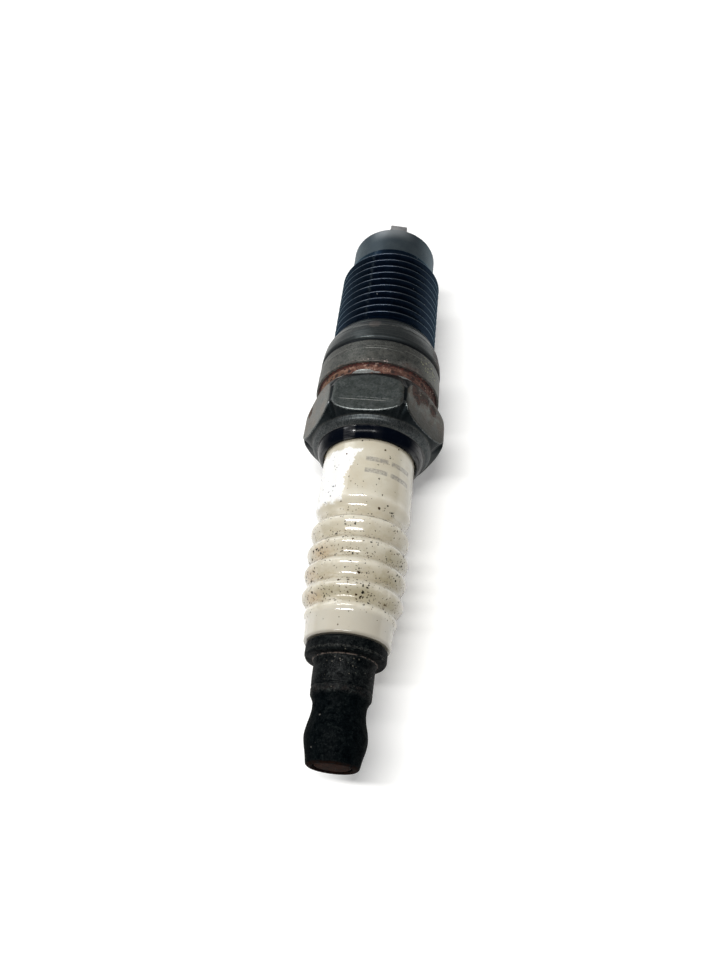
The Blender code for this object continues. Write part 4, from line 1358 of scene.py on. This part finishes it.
def metal_material(name, dark, light, rough, soot=0.0):
    """Drawn or turned metal for the electrodes, washers and rings, with optional soot."""
    mat = Shader(name)
    mid = mat.noise(2.0, detail=6, rough=0.6, warp=0.3)
    turned = mat.streaks(around=0.6, along=9.0, detail=4, rough=0.6)
    fine = mat.noise(10.0, detail=5, rough=0.65)
    color = mix((mid * 0.6 + turned * 0.4).ramp(0.35, 0.68), dark, light)
    dirty = (mid + fine.jitter(0.6)).ramp(0.34, 0.62) * soot
    return mat.finish(
        color=mix(dirty, color, (0.020, 0.018, 0.016)),
        rough=mix(dirty, turned.line(0.3, 0.7, *rough), 0.8), metal=mix(dirty, 1.0, 0.1),
        normal=mat.bump(turned + fine * 0.5, depth=0.012, strength=0.7))


def powder_material(name, dark, light, rough, coat=0.0):
    """Fired glass or pressed powder inside the plug."""
    mat = Shader(name)
    grain = mat.noise(9.0, detail=7, rough=0.75)
    mid = mat.noise(2.4, detail=5, rough=0.6)
    flecks = mat.specks(5.0, share=0.35, small=0.10, large=0.35, shift=3)
    fleck_color = tuple(min(1.0, channel * 1.8 + 0.02) for channel in light)
    return mat.finish(
        color=layered(mix(mid.ramp(0.35, 0.7), dark, light), (flecks * 0.5, fleck_color)),
        rough=grain.line(0.3, 0.7, rough - 0.1, min(1.0, rough + 0.1)), metal=0.0, coat=coat,
        normal=mat.bump(grain, depth=0.03, strength=0.8))


# ------------------------------------------------------------------ assembly
SHELL = shell_material()
CERAMIC = ceramic_material()
TERMINAL = terminal_material()
STUD = stud_material()
NICKEL = metal_material("nickel_sooted", dark=(0.38, 0.38, 0.39), light=(0.58, 0.58, 0.585),
                        rough=(0.38, 0.56), soot=0.32)
COPPER = metal_material("copper_core", dark=(0.42, 0.17, 0.09), light=(0.78, 0.38, 0.24),
                        rough=(0.25, 0.40))
PACKING = metal_material("packing_bright_steel", dark=(0.30, 0.30, 0.31),
                         light=(0.58, 0.58, 0.59), rough=(0.24, 0.40))
GLASS = powder_material("fired_copper_glass", dark=(0.060, 0.035, 0.022),
                        light=(0.170, 0.105, 0.070), rough=0.38, coat=0.4)
RESISTOR = powder_material("fired_carbon_glass", dark=(0.016, 0.016, 0.018),
                           light=(0.045, 0.045, 0.050), rough=0.62)
TALC = powder_material("pressed_talc", dark=(0.56, 0.54, 0.49), light=(0.74, 0.73, 0.70),
                       rough=0.92)


def fit_out(obj, node, material, body="plug"):
    obj.data.materials.append(material)
    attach(obj, body)
    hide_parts(node)


fit_out(shell_skin(), "shell", SHELL)
fit_out(insulator_skin(), "insulator", CERAMIC)
fit_out(nut_skin(), "terminal_nut", TERMINAL, "nut")
fit_out(stud_skin(), "terminal_stud", STUD)
fit_out(strap_skin(), "ground_electrode", NICKEL)
for node_name, solid_material in zip(SOLID_PIECES, (NICKEL, COPPER, GLASS, RESISTOR, GLASS)):
    fit_out(solid_piece(node_name), node_name, solid_material)
fit_out(talc_ring(), "talc_packing", TALC)
fit_out(seat_washer(), "seat_washer", PACKING)
for node_name, ring_height in (("lower_packing_ring", 34.30), ("upper_packing_ring", 37.06)):
    fit_out(packing_ring(node_name + "_wire", ring_height), node_name, PACKING)

# ------------------------------------------------------------------ stage
FLOOR_Z = CAD_BOX[0].z - 0.00002
FLOOR_HALF, FLOOR_COUNT = 1.2, 48        # metres, points a side


def floor_material():
    """Pale paper that glows for the camera alone, more so away from the plug."""
    mat = Shader("floor_paper")
    x, y, _ = mat.axes
    tone = mix(mat.noise(0.02, detail=2, rough=0.5), (0.86, 0.86, 0.855), (0.89, 0.89, 0.885))
    lift = (x * x + y * y).sqrt().ramp(45.0, 260.0, 0.22, 1.0)
    texture = mat.noise(3.0, detail=3, rough=0.5)
    return mat.finish(
        color=tone, rough=0.75, metal=0.0, spec=0.2, glow_color=(1, 1, 1),
        glow=mat.camera_ray() * lift, normal=mat.bump(texture, depth=0.01, strength=0.2))


def stage_floor():
    count = FLOOR_COUNT
    sides = np.linspace(-FLOOR_HALF, FLOOR_HALF, count)
    points = [(x, y, FLOOR_Z) for y in sides for x in sides]
    corners = [row * count + k for row in range(count - 1) for k in range(count - 1)]
    faces = [(k, k + 1, k + count + 1, k + count) for k in corners]
    mesh = bpy.data.meshes.new("floor")
    mesh.from_pydata(points, [], faces)
    floor = bpy.data.objects.new("floor", mesh)
    bpy.context.scene.collection.objects.link(floor)
    floor.data.materials.append(floor_material())


def add_camera():
    """Looks at the plug from its terminal end.

    The plug's frame is given twice: as the camera sees it (x right, y down, z ahead) and in the
    scene. One point of the axis is then put where the camera sees it.
    """
    depth_angle = math.radians(32.57)    # the axis off the picture plane
    swing = math.radians(7.40)           # the axis off the picture's upright
    aimed_height = 37.51
    aimed_seen = Vector((1.396923, -3.599280, 92.65))     # millimetres from the camera
    axis_seen = Vector((math.cos(depth_angle) * math.sin(swing),
                        -math.cos(depth_angle) * math.cos(swing), math.sin(depth_angle)))
    side_seen = Vector((math.cos(swing), math.sin(swing), 0.0))
    seen = Matrix((side_seen, axis_seen, side_seen.cross(axis_seen)))
    side = Vector((math.cos(LEAN), 0, -math.sin(LEAN)))
    upright = Vector((math.sin(LEAN), 0, math.cos(LEAN)))
    to_scene = Matrix((side, Vector((0, 1, 0)), upright)).transposed() @ seen
    aimed = Vector((0, FIRING_Y_MM - aimed_height, 0))

    data = bpy.data.cameras.new("camera")
    data.sensor_fit = "AUTO"
    data.sensor_width = 36.0
    data.lens = 27.6075
    data.clip_start = 0.002
    data.clip_end = 5.0
    camera = bpy.data.objects.new("camera", data)
    bpy.context.scene.collection.objects.link(camera)
    turn = to_scene @ Matrix(((1, 0, 0), (0, -1, 0), (0, 0, -1)))
    location = (aimed - to_scene @ aimed_seen) * MM
    camera.matrix_world = Matrix.Translation(location) @ turn.to_4x4()
    bpy.context.scene.camera = camera


def area_light(name, direction, distance, size, radiance, color):
    """A soft rectangular panel facing the origin; its first side stays level."""
    toward = Vector(direction).normalized()
    if toward.z > 0.9:
        level = Vector((1, 0, 0))
    else:
        level = Vector((0, 0, 1)).cross(toward).normalized()
    up = toward.cross(level).normalized()
    level = up.cross(toward).normalized()
    data = bpy.data.lights.new(name, "AREA")
    data.shape = "RECTANGLE"
    data.size, data.size_y = size
    data.energy = radiance * math.pi * size[0] * size[1]
    data.color = color
    lamp = bpy.data.objects.new(name, data)
    bpy.context.scene.collection.objects.link(lamp)
    turn = Matrix((level, up, toward)).transposed()
    lamp.matrix_world = Matrix.Translation(toward * distance) @ turn.to_4x4()


def set_world():
    """A dim room round the floor, a little brighter towards -X; only the camera sees it pale."""
    world = bpy.data.worlds.new("studio")
    world.use_nodes = True
    bpy.context.scene.world = world
    graph = Graph(world.node_tree)
    background = world.node_tree.nodes["Background"]
    split = graph.node("ShaderNodeSeparateXYZ")
    graph.feed(split, Value(graph, graph.node("ShaderNodeTexCoord").outputs["Generated"]))
    room = Value(graph, split.outputs[0]).ramp(-0.9, 0.7, 0.34, 0.18)
    strength = mix(graph.camera_ray(), room, 1.06)
    graph.feed(background, (1.0, 0.995, 0.985), strength)


stage_floor()
add_camera()
area_light("overhead", direction=(-0.15, -0.13, 0.98), distance=0.50, size=(0.36, 0.056),
           radiance=38.2, color=(1.0, 0.995, 0.98))
area_light("left_window", direction=(-0.60, 0.60, 0.53), distance=0.60, size=(0.42, 0.20),
           radiance=1.8, color=(0.98, 0.99, 1.0))
set_world()

view = bpy.context.scene.view_settings
view.view_transform = "Standard"
view.look = "None"
view.exposure = 0.0
view.gamma = 1.0
